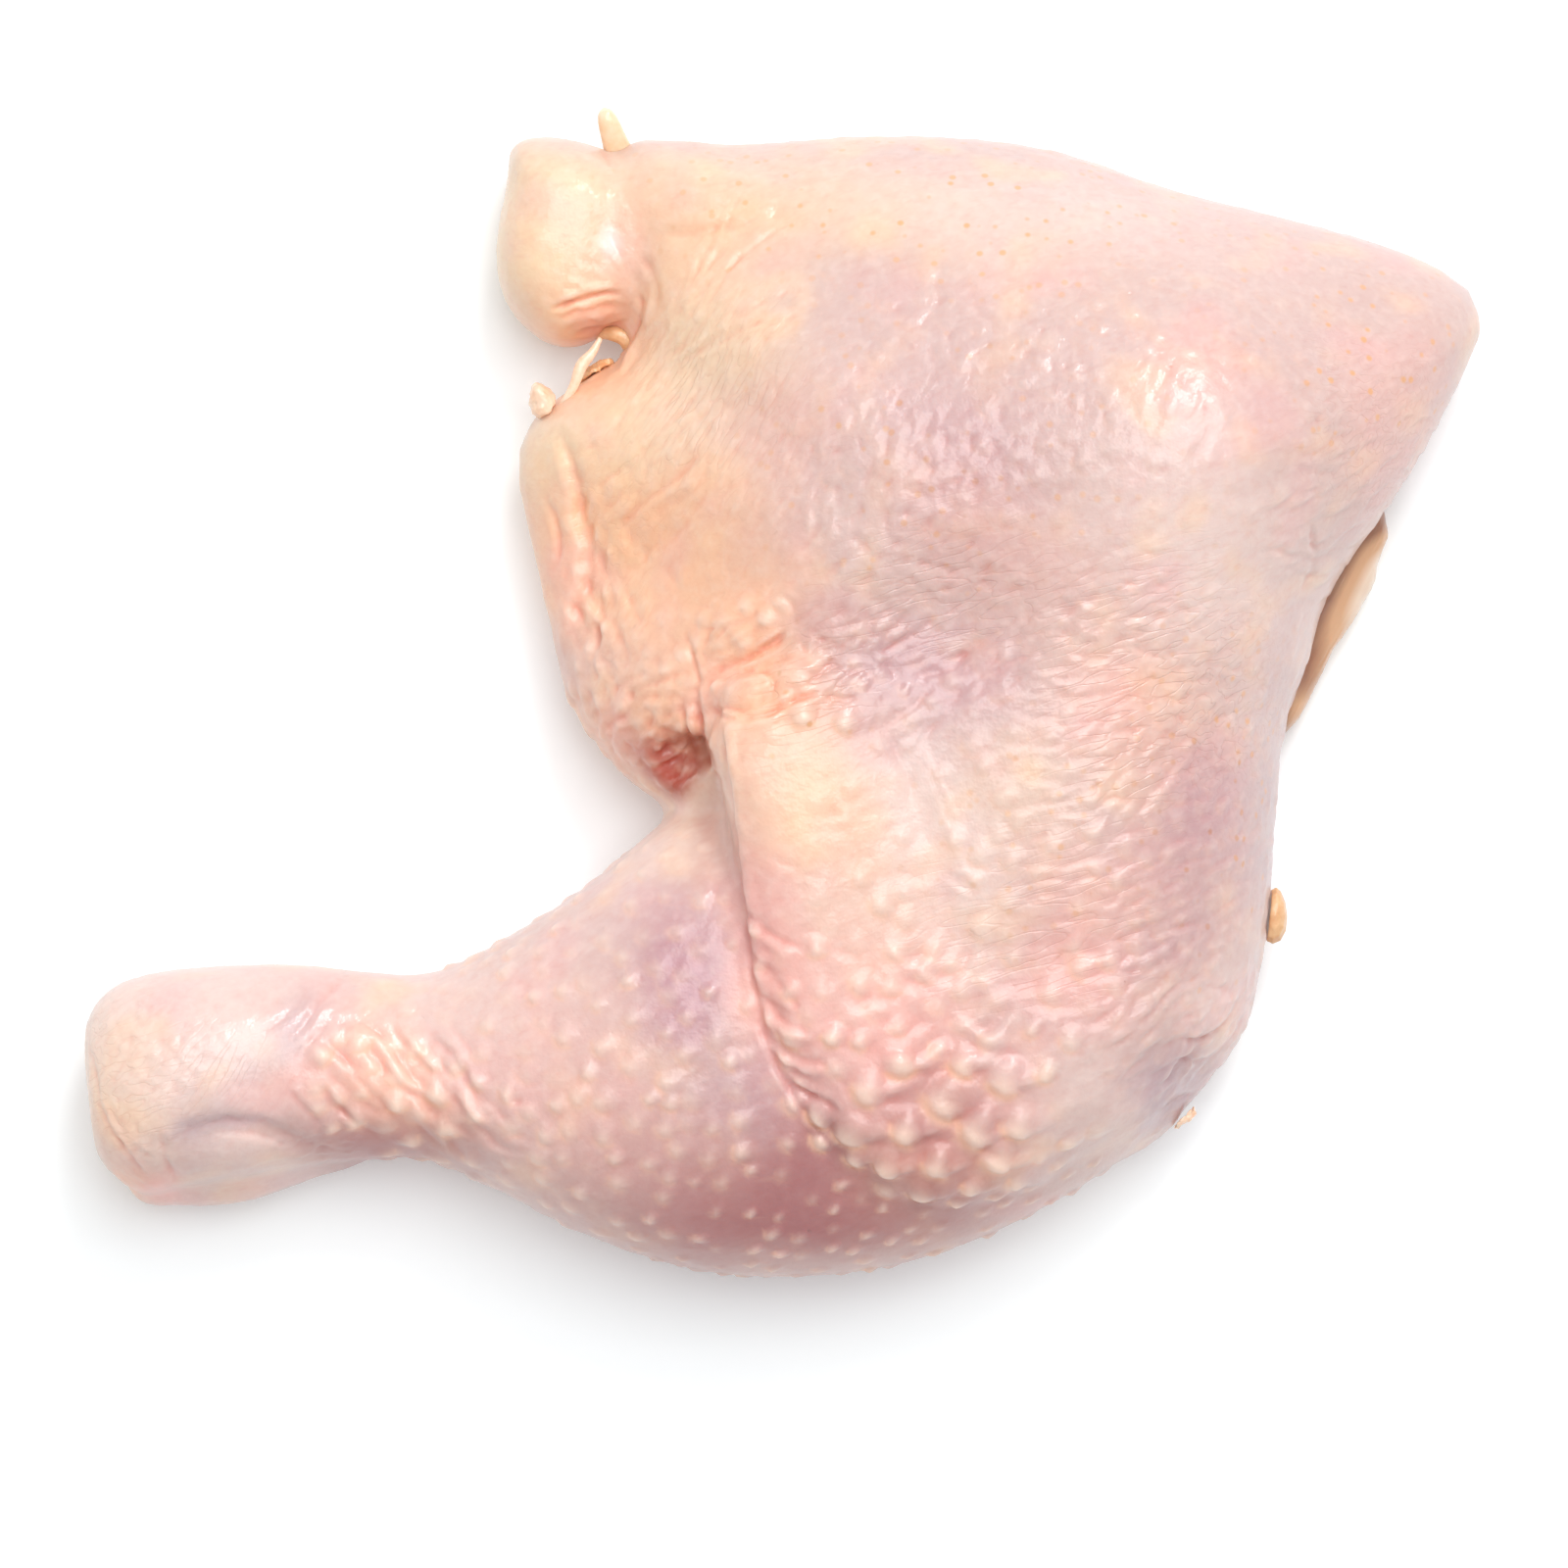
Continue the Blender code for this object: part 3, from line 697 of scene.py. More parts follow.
# single bumps: x, y, rise and size. The coarsest are at the lower end of the fold.
LUMPS = (
    (8.9, -48.8, 1.18, 3.0), (18.8, -49.3, 1.29, 3.1), (25.7, -48.3, 0.99, 2.5), (14.5, -53.5, 1.48, 3.1),
    (22.7, -53.0, 1.48, 3.2), (27.7, -52.6, 1.09, 2.6), (12.8, -57.4, 1.18, 2.7), (18.5, -57.4, 1.48, 3.0),
    (25.3, -56.5, 1.38, 2.9), (8.5, -53.1, 1.18, 2.9), (8.5, -56.7, 0.89, 2.5), (4.1, -51.1, 1.09, 2.5),
    (17.0, -60.2, 0.99, 2.3), (22.3, -60.1, 0.99, 2.2), (27.9, -59.2, 0.79, 2.1), (12.4, -60.2, 0.6, 1.8),
    (4.4, -54.7, 0.79, 1.7), (20.8, -62.3, 0.6, 1.9), (30.3, -56.3, 0.69, 1.8), (21.4, -45.8, 0.99, 2.6),
    (14.1, -45.3, 0.99, 3.0), (30.9, -37.7, 0.6, 2.2), (1.1, -41.9, 0.79, 2.2), (5.8, -42.8, 0.69, 2.2),
    # pored bumps along the fold's top edge
    (-6.1, -5.3, 0.7, 2.2), (-2.6, -4.9, 0.6, 2.1), (1.5, -4.1, 0.6, 2.1), (6.2, -4.6, 0.5, 2.0),
    # bumps on the pads above it
    (-7.4, 7.6, 0.5, 2.1), (-4.7, 9.7, 0.6, 2.2), (-2.0, 7.9, 0.5, 2.0), (-4.6, 5.9, 0.45, 1.9),
    (-0.1, 10.0, 0.5, 2.0), (-6.5, -0.1, 0.5, 2.0), (-3.8, 0.7, 0.5, 2.0), (1.0, 2.1, 0.55, 2.1),
    (4.1, 4.0, 0.4, 1.9), (-13.1, 0.7, 0.4, 1.8), (-15.3, -2.7, 0.45, 1.8), (-17.9, -4.6, 0.4, 1.7),
    (-19.1, -1.3, 0.35, 1.7), (-12.2, 4.0, 0.35, 1.8), (-16.3, 1.9, 0.3, 1.8),
    # nodules of fat on the ankle
    (-55.6, -44.6, 0.6, 2.0), (-53.7, -43.0, 0.5, 1.9), (-50.8, -42.1, 0.5, 2.0), (-47.3, -43.4, 0.6, 2.1),
    (-44.1, -43.4, 0.5, 2.1), (-49.9, -45.9, 0.6, 2.1), (-46.6, -47.2, 0.7, 2.2), (-42.2, -45.3, 0.6, 2.1),
    (-38.9, -45.9, 0.6, 2.0), (-41.6, -49.1, 0.7, 2.2), (-46.6, -50.3, 0.7, 2.1), (-44.1, -51.7, 0.7, 2.1),
    (-35.8, -48.4, 0.6, 2.1), (-37.7, -51.7, 0.6, 2.1), (-40.3, -53.0, 0.6, 2.0), (-50.5, -49.1, 0.6, 2.0),
    (-54.3, -49.1, 0.5, 1.9), (-57.5, -47.8, 0.4, 1.8), (-48.5, -53.0, 0.5, 1.8), (-51.8, -52.3, 0.5, 1.8),
    (-45.4, -54.9, 0.5, 1.8), (-59.9, -53.3, 0.3, 1.6), (-55.1, -53.3, 0.4, 1.7),
)


# ---------------------------------------------------------------- tints of the skin

Tint = namedtuple("Tint", "name colour zones")

SKIN_BASE = (0.68, 0.48, 0.44)

# each zone is x, y, two half sizes, a turn and how strongly the tint shows there
TINTS = (
    # fat under thin skin
    Tint("butter", (0.94, 0.68, 0.44), (
        (-32, 55, 13, 24, 0, 1.0), (-6, 60, 40, 10, -2, 0.5), (18, 56, 35, 12, -8, 0.2),
        (-12, 44, 20, 27, 20, 0.8), (-23, 27, 22, 18, 0, 1.0), (-2, -14, 26, 13, 0, 0.75),
        (8, -27, 26, 17, 0, 0.4), (28, -12, 13, 12, 0, 0.3), (-82, -48, 13, 14, 0, 1.0),
        (-16, 17, 13, 13, 0, 0.5), (-24, 62, 8, 8, 0, 0.5),
    )),
    # deeper fat
    Tint("apricot", (1.0, 0.55, 0.33), (
        (-25, 43, 13, 12, -10, 1.0), (-12, 55, 23, 12, 8, 0.4), (-22, 17, 22, 16, 15, 0.9),
        (-11, 15, 21, 18, -30, 0.7), (-2, 3, 17, 16, -15, 1.0), (2, 0, 15, 7, 0, 0.6),
        (-16, -3, 20, 15, 0, 0.7), (40, 2, 15, 8, 0, 0.2), (44, -6, 13, 10, 0, 0.3),
        (74, 12, 6, 12, 0, 0.3), (-80, -60, 6, 5, 0, 0.8), (-23.5, 47, 7, 5, 10, 1.0),
        (-6, 58, 14, 3, 0, 0.4), (13, -58, 14, 8, 10, 0.8), (-46, -49, 16, 8, -20, 0.55),
        (4, -14, 12, 14, 0, 0.35), (-47, -46, 11, 8, -45, 0.8), (41, 0, 8, 5, 20, 0.4),
    )),
    # the palest skin
    Tint("cream", (0.91, 0.7, 0.64), (
        (49, 17, 20, 19, 20, 0.7), (61, 4, 9, 18, 0, 0.3), (50, 12, 12, 12, 0, 0.4),
        (30, 58, 34, 10, -8, 0.4), (52, -40, 8, 8, 0, 0.4), (18, -18, 11, 31, 12, 0.6),
        (-77, -46, 31, 16, 0, 0.7), (-67, -37, 36, 10, 0, 0.5), (-65, -57, 11, 5, -8, 0.5),
        (38, -50, 21, 9, 25, 0.4), (-38, -41, 21, 15, 30, 0.6), (-18, -21, 24, 9, 45, 0.5),
    )),
    # thin skin over dark meat
    Tint("lilac", (0.56, 0.35, 0.35), (
        (24, 37, 27, 16, -15, 0.3), (22, 27, 15, 15, 0, 0.7), (12, 2, 22, 13, -5, 1.0),
        (-8, -35, 9, 18, -35, 0.8), (0, -51, 18, 20, -30, 0.8), (49, -14, 13, 15, 20, 0.8),
        (45, -31, 17, 8, 20, 0.9), (46, -46, 10, 9, 0, 0.6), (-12, -35, 11, 11, 0, 0.5),
        (57, 38, 19, 10, 20, 0.2), (35, -35, 13, 10, 10, 0.5), (43, -22, 11, 10, 0, 0.5),
        (-12, -36, 10, 11, 0, 0.8), (33, -36, 11, 10, 0, 0.5), (38, -2, 9, 7, 0, 0.3),
    )),
    # flushed skin
    Tint("rose", (0.9, 0.48, 0.42), (
        (12, -40, 20, 18, -20, 0.85), (17, -52, 20, 13, 0, 0.6), (33, -26, 13, 16, 0, 0.4),
        (74, 33, 10, 18, -20, 0.4), (-30, -42, 29, 13, 10, 0.3), (-57, -47, 12, 7, 0, 0.5),
        (-76, -61, 4, 4, 0, 0.8), (-50, -44, 16, 8, -40, 0.4), (-21, -54, 29, 13, -20, 0.4),
        (-1, -33, 7, 33, 8, 1.0), (27, 16, 24, 13, -30, 0.3), (0, 31, 12, 12, 0, 0.35),
        (-20, 55, 5, 9, 0, 0.4), (-22, 46, 6, 4, 0, 0.5), (15, -42, 12, 10, 0, 0.5),
        (34, -35, 12, 12, 0, 0.65), (42, -23, 10, 10, 0, 0.25), (38, -2, 9, 8, 0, 0.35),
        (49, 37, 10, 10, 0, 0.6), (8, -21, 10, 15, 0, 0.25),
    )),
    # blood under the skin
    Tint("raw", (0.42, 0.17, 0.17), (
        (2, -63, 26, 11, 3, 1.0), (-13, -61, 22, 17, -15, 0.5), (4, -57, 12, 10, 30, 0.6),
        (18, -62, 20, 12, 12, 0.5), (3, -57, 8, 12, 40, 0.8), (-48, -55, 19, 8, 0, 0.75),
        (20, -45, 14, 12, 0, 0.2), (18, -52, 13, 11, 0, 0.6),
    )),
    # thin skin over the drumstick's dark meat
    Tint("mauve", (0.54, 0.29, 0.33), (
        (-11, -34, 11, 16, -20, 0.8), (-7, -20, 5, 14, 0, 0.4), (-18, -28, 12, 10, 0, 0.3),
        (-4, -48, 8, 10, -40, 0.4), (46, -48, 10, 7, 20, 0.5), (20, 2, 16, 9, 0, 0.35),
        (22, 27, 16, 14, 0, 0.2), (50, -16, 12, 16, 0, 0.3), (-12, -36, 9, 9, 0, 0.6),
    )),
    # blood under the skin, and painted shade in the pocket beside the fold and in the tail's fold
    Tint("blood_and_shade", (0.46, 0.07, 0.04), (
        (-12.4, -8.8, 6.2, 5.6, 0, 1.0), (-13, -9, 4, 4, 0, 0.8), (-14, -5, 7, 7, 0, 0.3),
        (-23.5, 46, 5, 2.5, 8, 0.25),
    )),
    # bruised skin, and painted shade along the hock's groove
    Tint("bruise_and_groove_shade", (0.51, 0.38, 0.41), (
        (46, -48, 8, 8, 0, 0.6), (-61, -42, 10, 5, 40, 0.5), (-68, -53.5, 11, 2.6, 5, 0.6),
        (-70, -53, 8, 6, 5, 0.4), (62, -16, 9, 35, 0, 0.7),
    )),
)

# a painted highlight: the glare of a wet film on the tail, nearly white
PAINTED_GLINT = Tint("painted_glint", (1.0, 0.88, 0.86), ((-22.5, 55.1, 2.2, 2.6, 0, 0.7),))

# other qualities that vary over the skin, in the same kind of zones
MARKS = {
    # where dots show at the feather pores
    "pored": (
        (20, 58, 62, 16, -4, 1.0), (70, 40, 24, 22, 0, 1.0), (52, -14, 16, 40, 0, 1.0),
        (2, -3, 14, 14, 0, 1.0), (30, -18, 24, 24, 0, 0.6), (20, 28, 40, 30, 0, 0.8),
    ),
    # glossy patches
    "wet": (
        (-22.4, 55.1, 2.4, 2.6, 0, 0.5), (1.5, -47.8, 5, 2.2, -60, 0.8),
    ),
    # where the finest lines show most
    "lined": (
        (-6, 34, 20, 22, 0, 1.0), (-20, 20, 12, 22, 0, 0.7), (46, 0, 22, 26, 0, 1.0),
        (30, -28, 24, 18, 0, 0.7), (-76, -48, 20, 16, 0, 0.9), (0, 0, 16, 12, 0, 0.8),
        (20, 12, 24, 14, 0, 0.8), (72, 30, 18, 22, 0, 0.7),
    ),
    # where the finest lines run steeply instead of level
    "slanting": (
        (-10, 34, 26, 34, 0, 1.0), (-20, 5, 16, 26, 0, 1.0), (-60, -46, 26, 20, 0, 1.0),
        (-15, -40, 16, 20, 0, 0.7),
    ),
}


def tinted(points, zones):
    """How strongly a tint shows, from soft zones."""
    bare = np.ones(len(points))
    for x, y, wide, deep, turn, strength in zones:
        bare *= 1 - strength * zone(points, (x, y), (wide, deep), turn, 0.95)
    return 1 - bare


def tint_skin(surface, points):
    """Stores how strongly each tint and quality shows. The zones' borders wander."""
    laid = points.copy()
    laid[:, :2] += 2.5 * np.column_stack([cloud(points, 14, seed, 2) for seed in (40, 80)])
    for tint in (*TINTS, PAINTED_GLINT):
        surface.store(tint.name, tinted(laid, tint.zones))
    for name, zones in MARKS.items():
        surface.store(name, tinted(laid, zones))
    surface.store("warm", smoothstep(0.0, 0.8, cloud(points, 8, 60, 2)))
    surface.store("flush", smoothstep(0.0, 0.8, cloud(points, 11, 70, 2)))


def make_skin():
    """The whole skin: eased, then swollen, then the finer relief, then the tints."""
    skin = fine_copy("leg_quarter", "leg_skin", GRAIN)
    surface = Surface(skin)
    surface.ease(FACET_PASSES)
    normals = surface.normals()
    up = smoothstep(-0.4, 0.0, normals[:, 2])  # the relief fades out underneath
    surface.points += (up * swollen(surface.points, SWELLS))[:, None] * normals
    bumps, pale, painted_glow = Follicles(surface, FOLLICLES, LUMPS).raise_on(surface)
    points = surface.points
    fan = rays(NOTCH, angles=(16, 60), inner=(4, 16), outer=(8, 18), count=34)
    creases = CREASES + fan + rolls(FOLD_EDGE, count=7, run=-32, lengths=(3, 8))
    relief = up * (creased(points, creases) + folded(points, FOLDS) + wrinkled(points, WRINKLES) + bumps)
    surface.points = points + relief[:, None] * surface.normals()
    # how deep each point lies below the relief round it, for the painted shade in hollows and the painted
    # light on rises
    surface.store("hollow", surface.blur(relief, 20) - relief)
    surface.store("pale", pale)
    surface.store("painted_glow", painted_glow)
    tint_skin(surface, points)
    low, high = (np.array(corner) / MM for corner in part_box("leg_quarter"))
    surface.points = np.clip(surface.points, low, high)
    surface.write()
    thin = skin.modifiers.new("fewer faces", "DECIMATE")
    triangles = 2 * len(skin.data.polygons)
    thin.ratio = min(1.0, SKIN_FACES / triangles)
    baked(skin)
    skin.data.shade_smooth()
    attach(skin, "root")
    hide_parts("leg_quarter")
    return skin


# ---------------------------------------------------------------- small pieces

# the skin's cut edge, beside which the meat's rim shows
THIGH_EDGE = ((73.5, 20.7), (70.0, 17.8), (67.0, 12.0), (64.6, 7.2), (63.2, 2.2))
RIM_WIDTH = 4


def make_scrap(node, grain, size, depth, seed):
    """A small CAD piece laid out again as a fine mesh, uneven by depth over humps of a size."""
    piece = fine_copy(node, node + "_fine", grain)
    surface = Surface(piece)
    surface.ease(40)
    surface.points += (depth * cloud(surface.points, size, seed))[:, None] * surface.normals()
    outward, _ = beside(surface.points, THIGH_EDGE)
    # the rim shows only at the thigh's edge, and less at its lower end
    shown = smoothstep(60, 64, surface.points[:, 0])
    shown *= 0.45 + 0.55 * smoothstep(4, 12, surface.points[:, 1])
    surface.store("rim", shown * np.clip(outward / RIM_WIDTH, 0.02, 1))
    surface.points[:, 2] = surface.points[:, 2].clip(0)
    surface.write()
    return settled(piece, node)


def settled(piece, node):
    piece.data.shade_smooth()
    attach(piece, "root")
    if node:
        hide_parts(node)
    return piece


def finger(name, stops, sides=20, steps=8):
    """A soft strip through stops of x, y, z, half width and half thickness, with round ends."""
    route = smooth_route(stops, steps)
    places = route[:, :3]
    runs = np.gradient(places, axis=0)
    runs /= np.linalg.norm(runs, axis=1)[:, None]
    aside = np.cross(runs, (0, 0, 1))
    aside /= np.linalg.norm(aside, axis=1)[:, None]
    above = np.cross(aside, runs)
    bm = bmesh.new()
    rings = []
    for place, side, top, (wide, thick) in zip(places, aside, above, route[:, 3:]):
        ring = []
        for turn in np.arange(sides) * 2 * math.pi / sides:
            corner = place + wide * math.cos(turn) * side + thick * math.sin(turn) * top
            ring.append(bm.verts.new(corner * MM))
        rings.append(ring)
    for near, far in zip(rings, rings[1:]):
        for i in range(sides):
            j = (i + 1) % sides
            bm.faces.new((near[i], near[j], far[j], far[i]))
    bm.faces.new(rings[0][::-1])
    bm.faces.new(rings[-1])
    bmesh.ops.recalc_face_normals(bm, faces=bm.faces)
    mesh = bpy.data.meshes.new(name)
    bm.to_mesh(mesh)
    bm.free()
    return link(bpy.data.objects.new(name, mesh))


# ---------------------------------------------------------------- materials

# colours laid over the skin's own
FLUSHED = (0.92, 0.72, 0.70)
PORE = (0.80, 0.40, 0.16)
DARK_PORE = (0.45, 0.20, 0.18)


def add_node(tree, kind, inputs=None, **settings):
    """A new node. Its inputs are values or other nodes' outputs."""
    node = tree.nodes.new(kind)
    for name, value in settings.items():
        setattr(node, name, value)
    for name, value in (inputs or {}).items():
        if isinstance(value, bpy.types.NodeSocket):
            tree.links.new(value, node.inputs[name])
        else:
            node.inputs[name].default_value = value
    return node


def mixed(tree, share, first, second, blend="MIX"):
    """A share of the second colour over the first."""
    node = add_node(tree, "ShaderNodeMix", data_type="RGBA", blend_type=blend)
    for slot, value in ((0, share), (6, first), (7, second)):
        if isinstance(value, bpy.types.NodeSocket):
            tree.links.new(value, node.inputs[slot])
        elif isinstance(value, tuple):
            node.inputs[slot].default_value = (*value, 1.0)
        else:
            node.inputs[slot].default_value = value
    return node.outputs[2]


def ranged(tree, value, low, high, to_low=0.0, to_high=1.0):
    """A value laid from one range onto another."""
    limits = {"Value": value, "From Min": low, "From Max": high, "To Min": to_low, "To Max": to_high}
    return add_node(tree, "ShaderNodeMapRange", limits).outputs["Result"]


def laid_over(tree, colour, tint, value, low, high, most, blend="MIX"):
    """A tint over a colour, up to a share of most as a value goes from low to high."""
    return mixed(tree, ranged(tree, value, low, high, 0, most), colour, tint, blend)


def times(tree, first, second):
    return add_node(tree, "ShaderNodeMath", {0: first, 1: second}, operation="MULTIPLY").outputs[0]


def stored(tree, name):
    """Values kept on the mesh."""
    return add_node(tree, "ShaderNodeAttribute", attribute_name=name).outputs["Fac"]


def place_in(tree):
    return add_node(tree, "ShaderNodeTexCoord").outputs["Object"]


def grain(tree, size, detail=3.0, roughness=0.55):
    """Noise whose humps are size millimetres across, from 0 to 1."""
    inputs = {"Vector": place_in(tree), "Scale": 1 / (size * MM), "Detail": detail, "Roughness": roughness}
    return add_node(tree, "ShaderNodeTexNoise", inputs).outputs["Fac"]


def drawn_out(tree, run, length, width, detail=2.0):
    """Noise drawn out along a direction in plan, from 0 to 1."""
    inputs = {
        "Vector": place_in(tree),
        "Rotation": (0, 0, math.radians(run)),
        "Scale": (length * MM, width * MM, width * MM),
    }
    laid = add_node(tree, "ShaderNodeMapping", inputs, vector_type="TEXTURE").outputs["Vector"]
    inputs = {"Vector": laid, "Scale": 1, "Detail": detail}
    return add_node(tree, "ShaderNodeTexNoise", inputs).outputs["Fac"]


def dots(tree, apart, radius):
    """Soft dots scattered over the surface, 1 at their middles."""
    inputs = {"Vector": place_in(tree), "Scale": 1 / (apart * MM)}
    distance = add_node(tree, "ShaderNodeTexVoronoi", inputs).outputs["Distance"]
    return ranged(tree, distance, radius / apart, 0.5 * radius / apart)


def cracked(tree, run):
    """Thin lines that mostly run one way, 0 in the lines and 1 between them."""
    noise = drawn_out(tree, run, 6.5, 1.1, 0.5)
    level = add_node(tree, "ShaderNodeMath", {0: noise, 1: 0.5}, operation="SUBTRACT").outputs[0]
    apart = add_node(tree, "ShaderNodeMath", {0: level}, operation="ABSOLUTE").outputs[0]
    return ranged(tree, apart, 0.0, 0.05)


def tinted_over(tree, colour, tints):
    """The tints laid over a colour where they are stored on the mesh."""
    for tint in tints:
        colour = mixed(tree, stored(tree, tint.name), colour, tint.colour)
    return colour


def bumped(tree, shader, height, depth, strength=1.0, under=None):
    """Fine relief, depth millimetres deep, on a shader, over coarser relief."""
    inputs = {"Height": height, "Strength": strength, "Distance": depth * MM}
    if under:
        inputs["Normal"] = under
    bump = add_node(tree, "ShaderNodeBump", inputs).outputs["Normal"]
    tree.links.new(bump, shader.inputs["Normal"])
    return bump


def flesh(shader, weight, scale, coat, coat_roughness):
    """Light that soaks into a soft wet material. scale is in millimetres."""
    shader.subsurface_method = "BURLEY"
    shader.inputs["Subsurface Weight"].default_value = weight
    shader.inputs["Subsurface Radius"].default_value = (1.0, 0.45, 0.3)
    shader.inputs["Subsurface Scale"].default_value = scale * MM
    shader.inputs["Coat Weight"].default_value = coat
    shader.inputs["Coat Roughness"].default_value = coat_roughness


def new_material(name):
    made = bpy.data.materials.new(name)
    made.use_nodes = True
    return made, made.node_tree, made.node_tree.nodes["Principled BSDF"]


def skin_colour(tree, fleck, cracks, steep):
    colour = tinted_over(tree, SKIN_BASE, TINTS[:3])
    colour = laid_over(tree, colour, (1.0, 0.66, 0.40), stored(tree, "warm"), 0, 1, 0.35)
    colour = laid_over(tree, colour, (0.84, 0.44, 0.44), stored(tree, "flush"), 0, 1, 0.3)
    colour = tinted_over(tree, colour, TINTS[3:])
    # blotches and fine lines
    bloodless = ranged(tree, stored(tree, "raw"), 0, 0.6, 1, 0.2)
    light_fleck = times(tree, ranged(tree, fleck, 0.5, 0.8, 0, 0.14), bloodless)
    colour = mixed(tree, light_fleck, colour, (1.0, 0.84, 0.76))
    colour = laid_over(tree, colour, FLUSHED, fleck, 0.5, 0.2, 0.18, "MULTIPLY")
    lines = mixed(tree, steep, drawn_out(tree, 22, 1.8, 0.75, 1.0), drawn_out(tree, 56, 1.8, 0.75, 1.0))
    colour = laid_over(tree, colour, FLUSHED, lines, 0.5, 0.25, 0.25, "MULTIPLY")
    colour = laid_over(tree, colour, (0.90, 0.62, 0.56), cracks, 1, 0, 0.2, "MULTIPLY")
    # painted shade in the hollows, painted light that makes the rises paler, pale tips, a painted glow on
    # the bumps' shaded rims, and pores
    hollow = stored(tree, "hollow")
    colour = laid_over(tree, colour, (0.92, 0.60, 0.58), hollow, 0.02, 0.4, 0.7, "MULTIPLY")
    colour = laid_over(tree, colour, (0.98, 0.82, 0.72), hollow, -0.05, -0.45, 0.35)
    colour = laid_over(tree, colour, (1.0, 0.75, 0.60), stored(tree, "pale"), 0, 1, 0.65)
    # painted glow on the bumps' shaded front rims
    colour = laid_over(tree, colour, (1.0, 0.60, 0.40), stored(tree, "painted_glow"), 0, 1, 0.55)
    pore = mixed(tree, stored(tree, "lilac"), PORE, DARK_PORE)
    pored = times(tree, dots(tree, 2.5, 0.55), stored(tree, "pored"))
    colour = laid_over(tree, colour, pore, pored, 0, 1, 0.8)
    # the painted highlight of the wet glare on the tail goes on last
    return tinted_over(tree, colour, (PAINTED_GLINT,))


def skin_material():
    made, tree, shader = new_material("skin")
    fleck = grain(tree, 1.4, 1.0)
    steep = stored(tree, "slanting")
    cracks = mixed(tree, steep, cracked(tree, 16), cracked(tree, 56))
    cracks = mixed(tree, stored(tree, "lined"), (1.0, 1.0, 1.0), cracks)
    tree.links.new(skin_colour(tree, fleck, cracks, steep), shader.inputs["Base Color"])
    flesh(shader, weight=0.5, scale=1.6, coat=0.4, coat_roughness=0.14)
    wet = mixed(tree, stored(tree, "wet"), ranged(tree, fleck, 0.3, 0.7, 0.34, 0.5), (0.2, 0.2, 0.2))
    tree.links.new(wet, shader.inputs["Roughness"])
    coarse = bumped(tree, shader, cracks, depth=0.1, strength=0.65)
    fine = bumped(tree, shader, grain(tree, 0.6, 1.0), depth=0.06, strength=0.7, under=coarse)
    tree.links.new(fine, shader.inputs["Coat Normal"])
    return made


def soft_material(name, first, second, size):
    """Uneven fat, blotched between two colours."""
    made, tree, shader = new_material(name)
    colour = mixed(tree, ranged(tree, grain(tree, size, 3.0), 0.35, 0.65), first, second)
    tree.links.new(colour, shader.inputs["Base Color"])
    flesh(shader, weight=0.5, scale=1.2, coat=0.5, coat_roughness=0.12)
    shader.inputs["Roughness"].default_value = 0.35
    fine = bumped(tree, shader, grain(tree, 0.35 * size, 2.0), depth=0.06 * size, strength=0.6)
    tree.links.new(fine, shader.inputs["Coat Normal"])
    return made


def meat_material():
    """Bare meat with fibres, and bands of dark brown, tan and pale fat out to the rim that shows. The dark
    brown by the skin's edge is partly painted shade under that edge.
    """
    made, tree, shader = new_material("meat")
    fibres = drawn_out(tree, 62, 9, 0.7, 3.0)
    colour = mixed(tree, ranged(tree, fibres, 0.35, 0.65), (0.50, 0.22, 0.17), (0.74, 0.44, 0.34))
    colour = laid_over(tree, colour, (0.88, 0.66, 0.46), grain(tree, 6, 3.0), 0.52, 0.68, 0.8)
    rim = stored(tree, "rim")
    # dark brown next to the skin's edge, partly the meat's colour and partly painted shade under the skin's
    # edge
    colour = laid_over(tree, colour, (0.34, 0.15, 0.08), rim, 0.0, 0.01, 0.85)
    colour = laid_over(tree, colour, (0.80, 0.47, 0.27), rim, 0.14, 0.42, 0.85)
    colour = laid_over(tree, colour, (0.90, 0.72, 0.58), rim, 0.6, 0.9, 0.8)
    tree.links.new(colour, shader.inputs["Base Color"])
    flesh(shader, weight=0.35, scale=1.5, coat=0.5, coat_roughness=0.12)
    shader.inputs["Roughness"].default_value = 0.38
    fine = bumped(tree, shader, fibres, depth=0.3, strength=0.6)
    tree.links.new(fine, shader.inputs["Coat Normal"])
    return made


def painted(piece, material):
    piece.data.materials.clear()
    piece.data.materials.append(material)


# ---------------------------------------------------------------- the pieces


painted(make_skin(), skin_material())

fat = soft_material("fat", (0.98, 0.68, 0.42), (1.0, 0.76, 0.54), 1.5)
tan_fat = soft_material("tan_fat", (0.72, 0.37, 0.17), (0.86, 0.54, 0.29), 1.8)
film = soft_material("film", (0.94, 0.62, 0.42), (0.98, 0.74, 0.56), 1.2)
meat = meat_material()

# the small CAD pieces: node, slot and material, then the spacing of the points, the humps' size and depth
SCRAPS = (
    ("inner_meat", "meat", meat, 0.6, 7, 0.35),
    ("edge_bead", "fat", tan_fat, 0.12, 1.8, 0.05),
    ("rim_nub", "fat", film, 0.14, 1.8, 0.3),
    ("torn_fat", "fat", tan_fat, 0.12, 1.2, 0.35),
    ("knee_scrap", "fat", film, 0.1, 1.0, 0.3),
)
for seed, (node, slot, material, spacing, size, depth) in enumerate(SCRAPS, 1):
    painted(make_scrap(node, spacing, size, depth, seed), material)

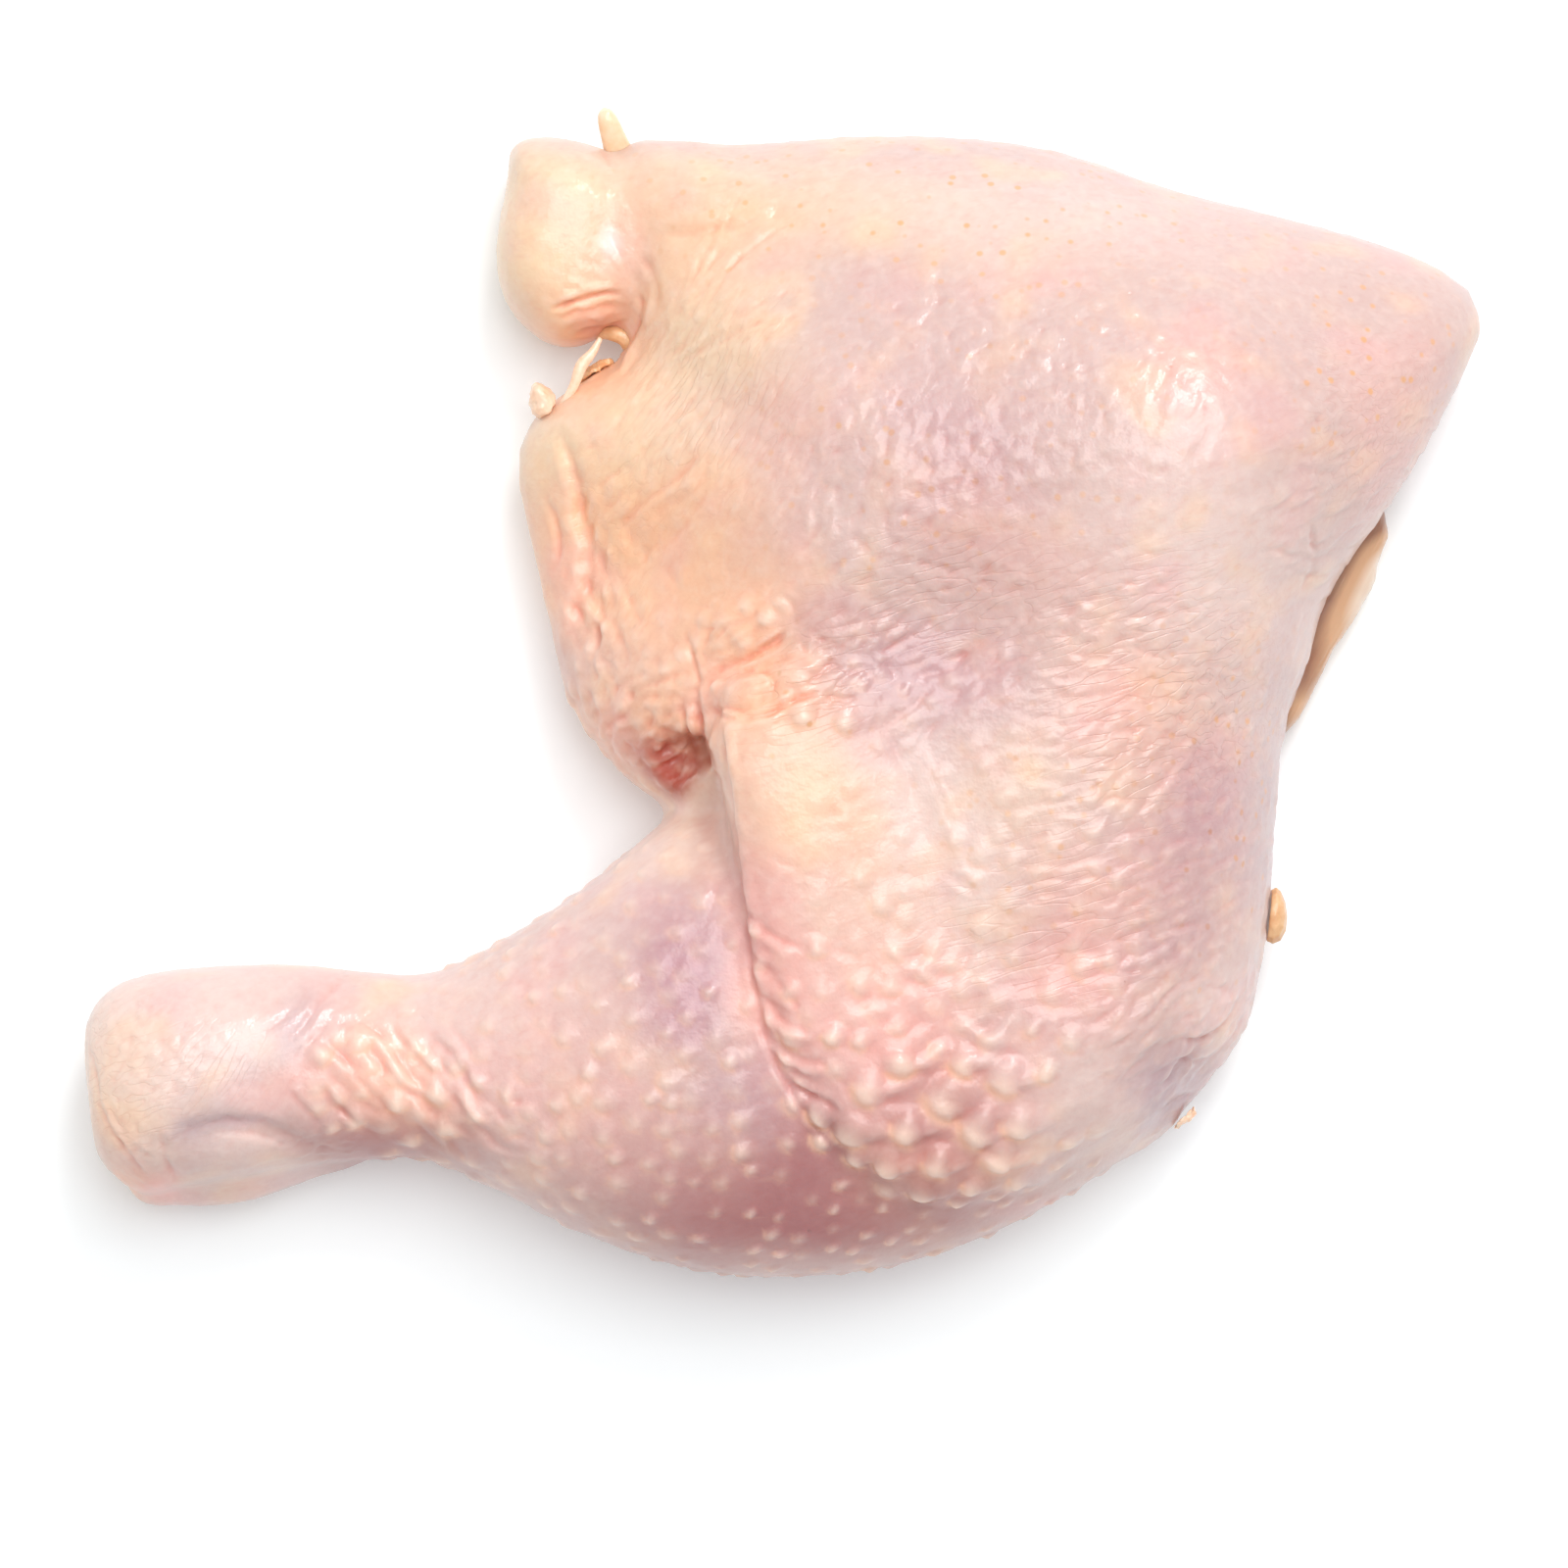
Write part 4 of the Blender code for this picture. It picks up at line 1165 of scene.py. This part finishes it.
tag = finger(
    "tail_tag_fine",
    (
        (-18.8, 62.6, 6.0, 2.4, 0.9), (-19.8, 65.0, 8.6, 2.1, 1.0), (-20.6, 67.2, 10.8, 1.6, 1.0),
        (-21.3, 69.2, 12.0, 1.35, 0.95), (-21.7, 70.4, 12.3, 1.1, 0.8), (-21.9, 71.1, 12.2, 0.7, 0.5),
        (-22.0, 71.45, 12.2, 0.1, 0.1),
    ),
)
painted(settled(tag, "tail_tag"), fat)

ribbon = finger(
    "sinew_strand_fine",
    (
        (-22.4, 43.2, 12.6, 0.3, 0.25), (-23.4, 41.4, 13.2, 0.55, 0.35), (-24.7, 39.8, 13.6, 0.75, 0.4),
        (-25.6, 37.4, 13.6, 0.6, 0.35), (-26.8, 35.2, 13.2, 0.55, 0.35), (-28.2, 33.4, 12.6, 0.4, 0.3),
    ),
)
painted(settled(ribbon, "sinew_strand"), film)

curl = finger(
    "notch_curl",
    (
        (-23.2, 43.7, 9.5, 0.4, 0.4), (-21.4, 44.0, 10.3, 0.9, 0.8), (-19.6, 43.4, 10.6, 1.0, 0.8),
        (-18.8, 42.0, 10.2, 0.9, 0.8), (-19.2, 40.4, 9.2, 0.5, 0.5),
    ),
)
painted(settled(curl, None), tan_fat)


# ---------------------------------------------------------------- floor, light and camera


def make_floor():
    mesh = bpy.data.meshes.new("floor")
    bm = bmesh.new()
    bmesh.ops.create_grid(bm, x_segments=1, y_segments=1, size=3.0)
    bm.to_mesh(mesh)
    bm.free()
    floor = link(bpy.data.objects.new("floor", mesh))
    made = bpy.data.materials.new("floor")
    made.use_nodes = True
    shader = made.node_tree.nodes["Principled BSDF"]
    shader.inputs["Base Color"].default_value = (0.90, 0.94, 0.955, 1)
    shader.inputs["Roughness"].default_value = 0.9
    shader.inputs["Emission Color"].default_value = (1, 1, 1, 1)
    shader.inputs["Emission Strength"].default_value = 0.15
    mesh.materials.append(made)


def softbox(name, place, size, power):
    lamp = bpy.data.lights.new(name, "AREA")
    lamp.shape = "SQUARE"
    lamp.size = size
    lamp.energy = power
    light = link(bpy.data.objects.new(name, lamp))
    light.location = place
    light.rotation_euler = (-light.location).to_track_quat("-Z", "Y").to_euler()


def make_lights():
    world = bpy.data.worlds.new("studio")
    world.use_nodes = True
    world.node_tree.nodes["Background"].inputs["Color"].default_value = (1, 1, 1, 1)
    world.node_tree.nodes["Background"].inputs["Strength"].default_value = 0.52
    bpy.context.scene.world = world
    softbox("key", (0.28, 0.85, 0.95), size=0.34, power=5.2)
    softbox("top", (0.15, 0.35, 1.25), size=0.8, power=8.7)


def make_camera():
    """Straight above, with the whole piece in view."""
    lens = bpy.data.cameras.new("camera")
    camera = link(bpy.data.objects.new("camera", lens))
    # width is what the view spans at the height of the piece's rim
    height, width, rim = 0.9, 0.192, 0.012
    middle = (0.06 * MM, -11.34 * MM)
    lens.lens = lens.sensor_width * (height - rim) / width
    camera.location = (*middle, height)
    lens.clip_end = 20
    bpy.context.scene.camera = camera


make_floor()
make_lights()
make_camera()
bpy.context.scene.view_settings.view_transform = "Standard"
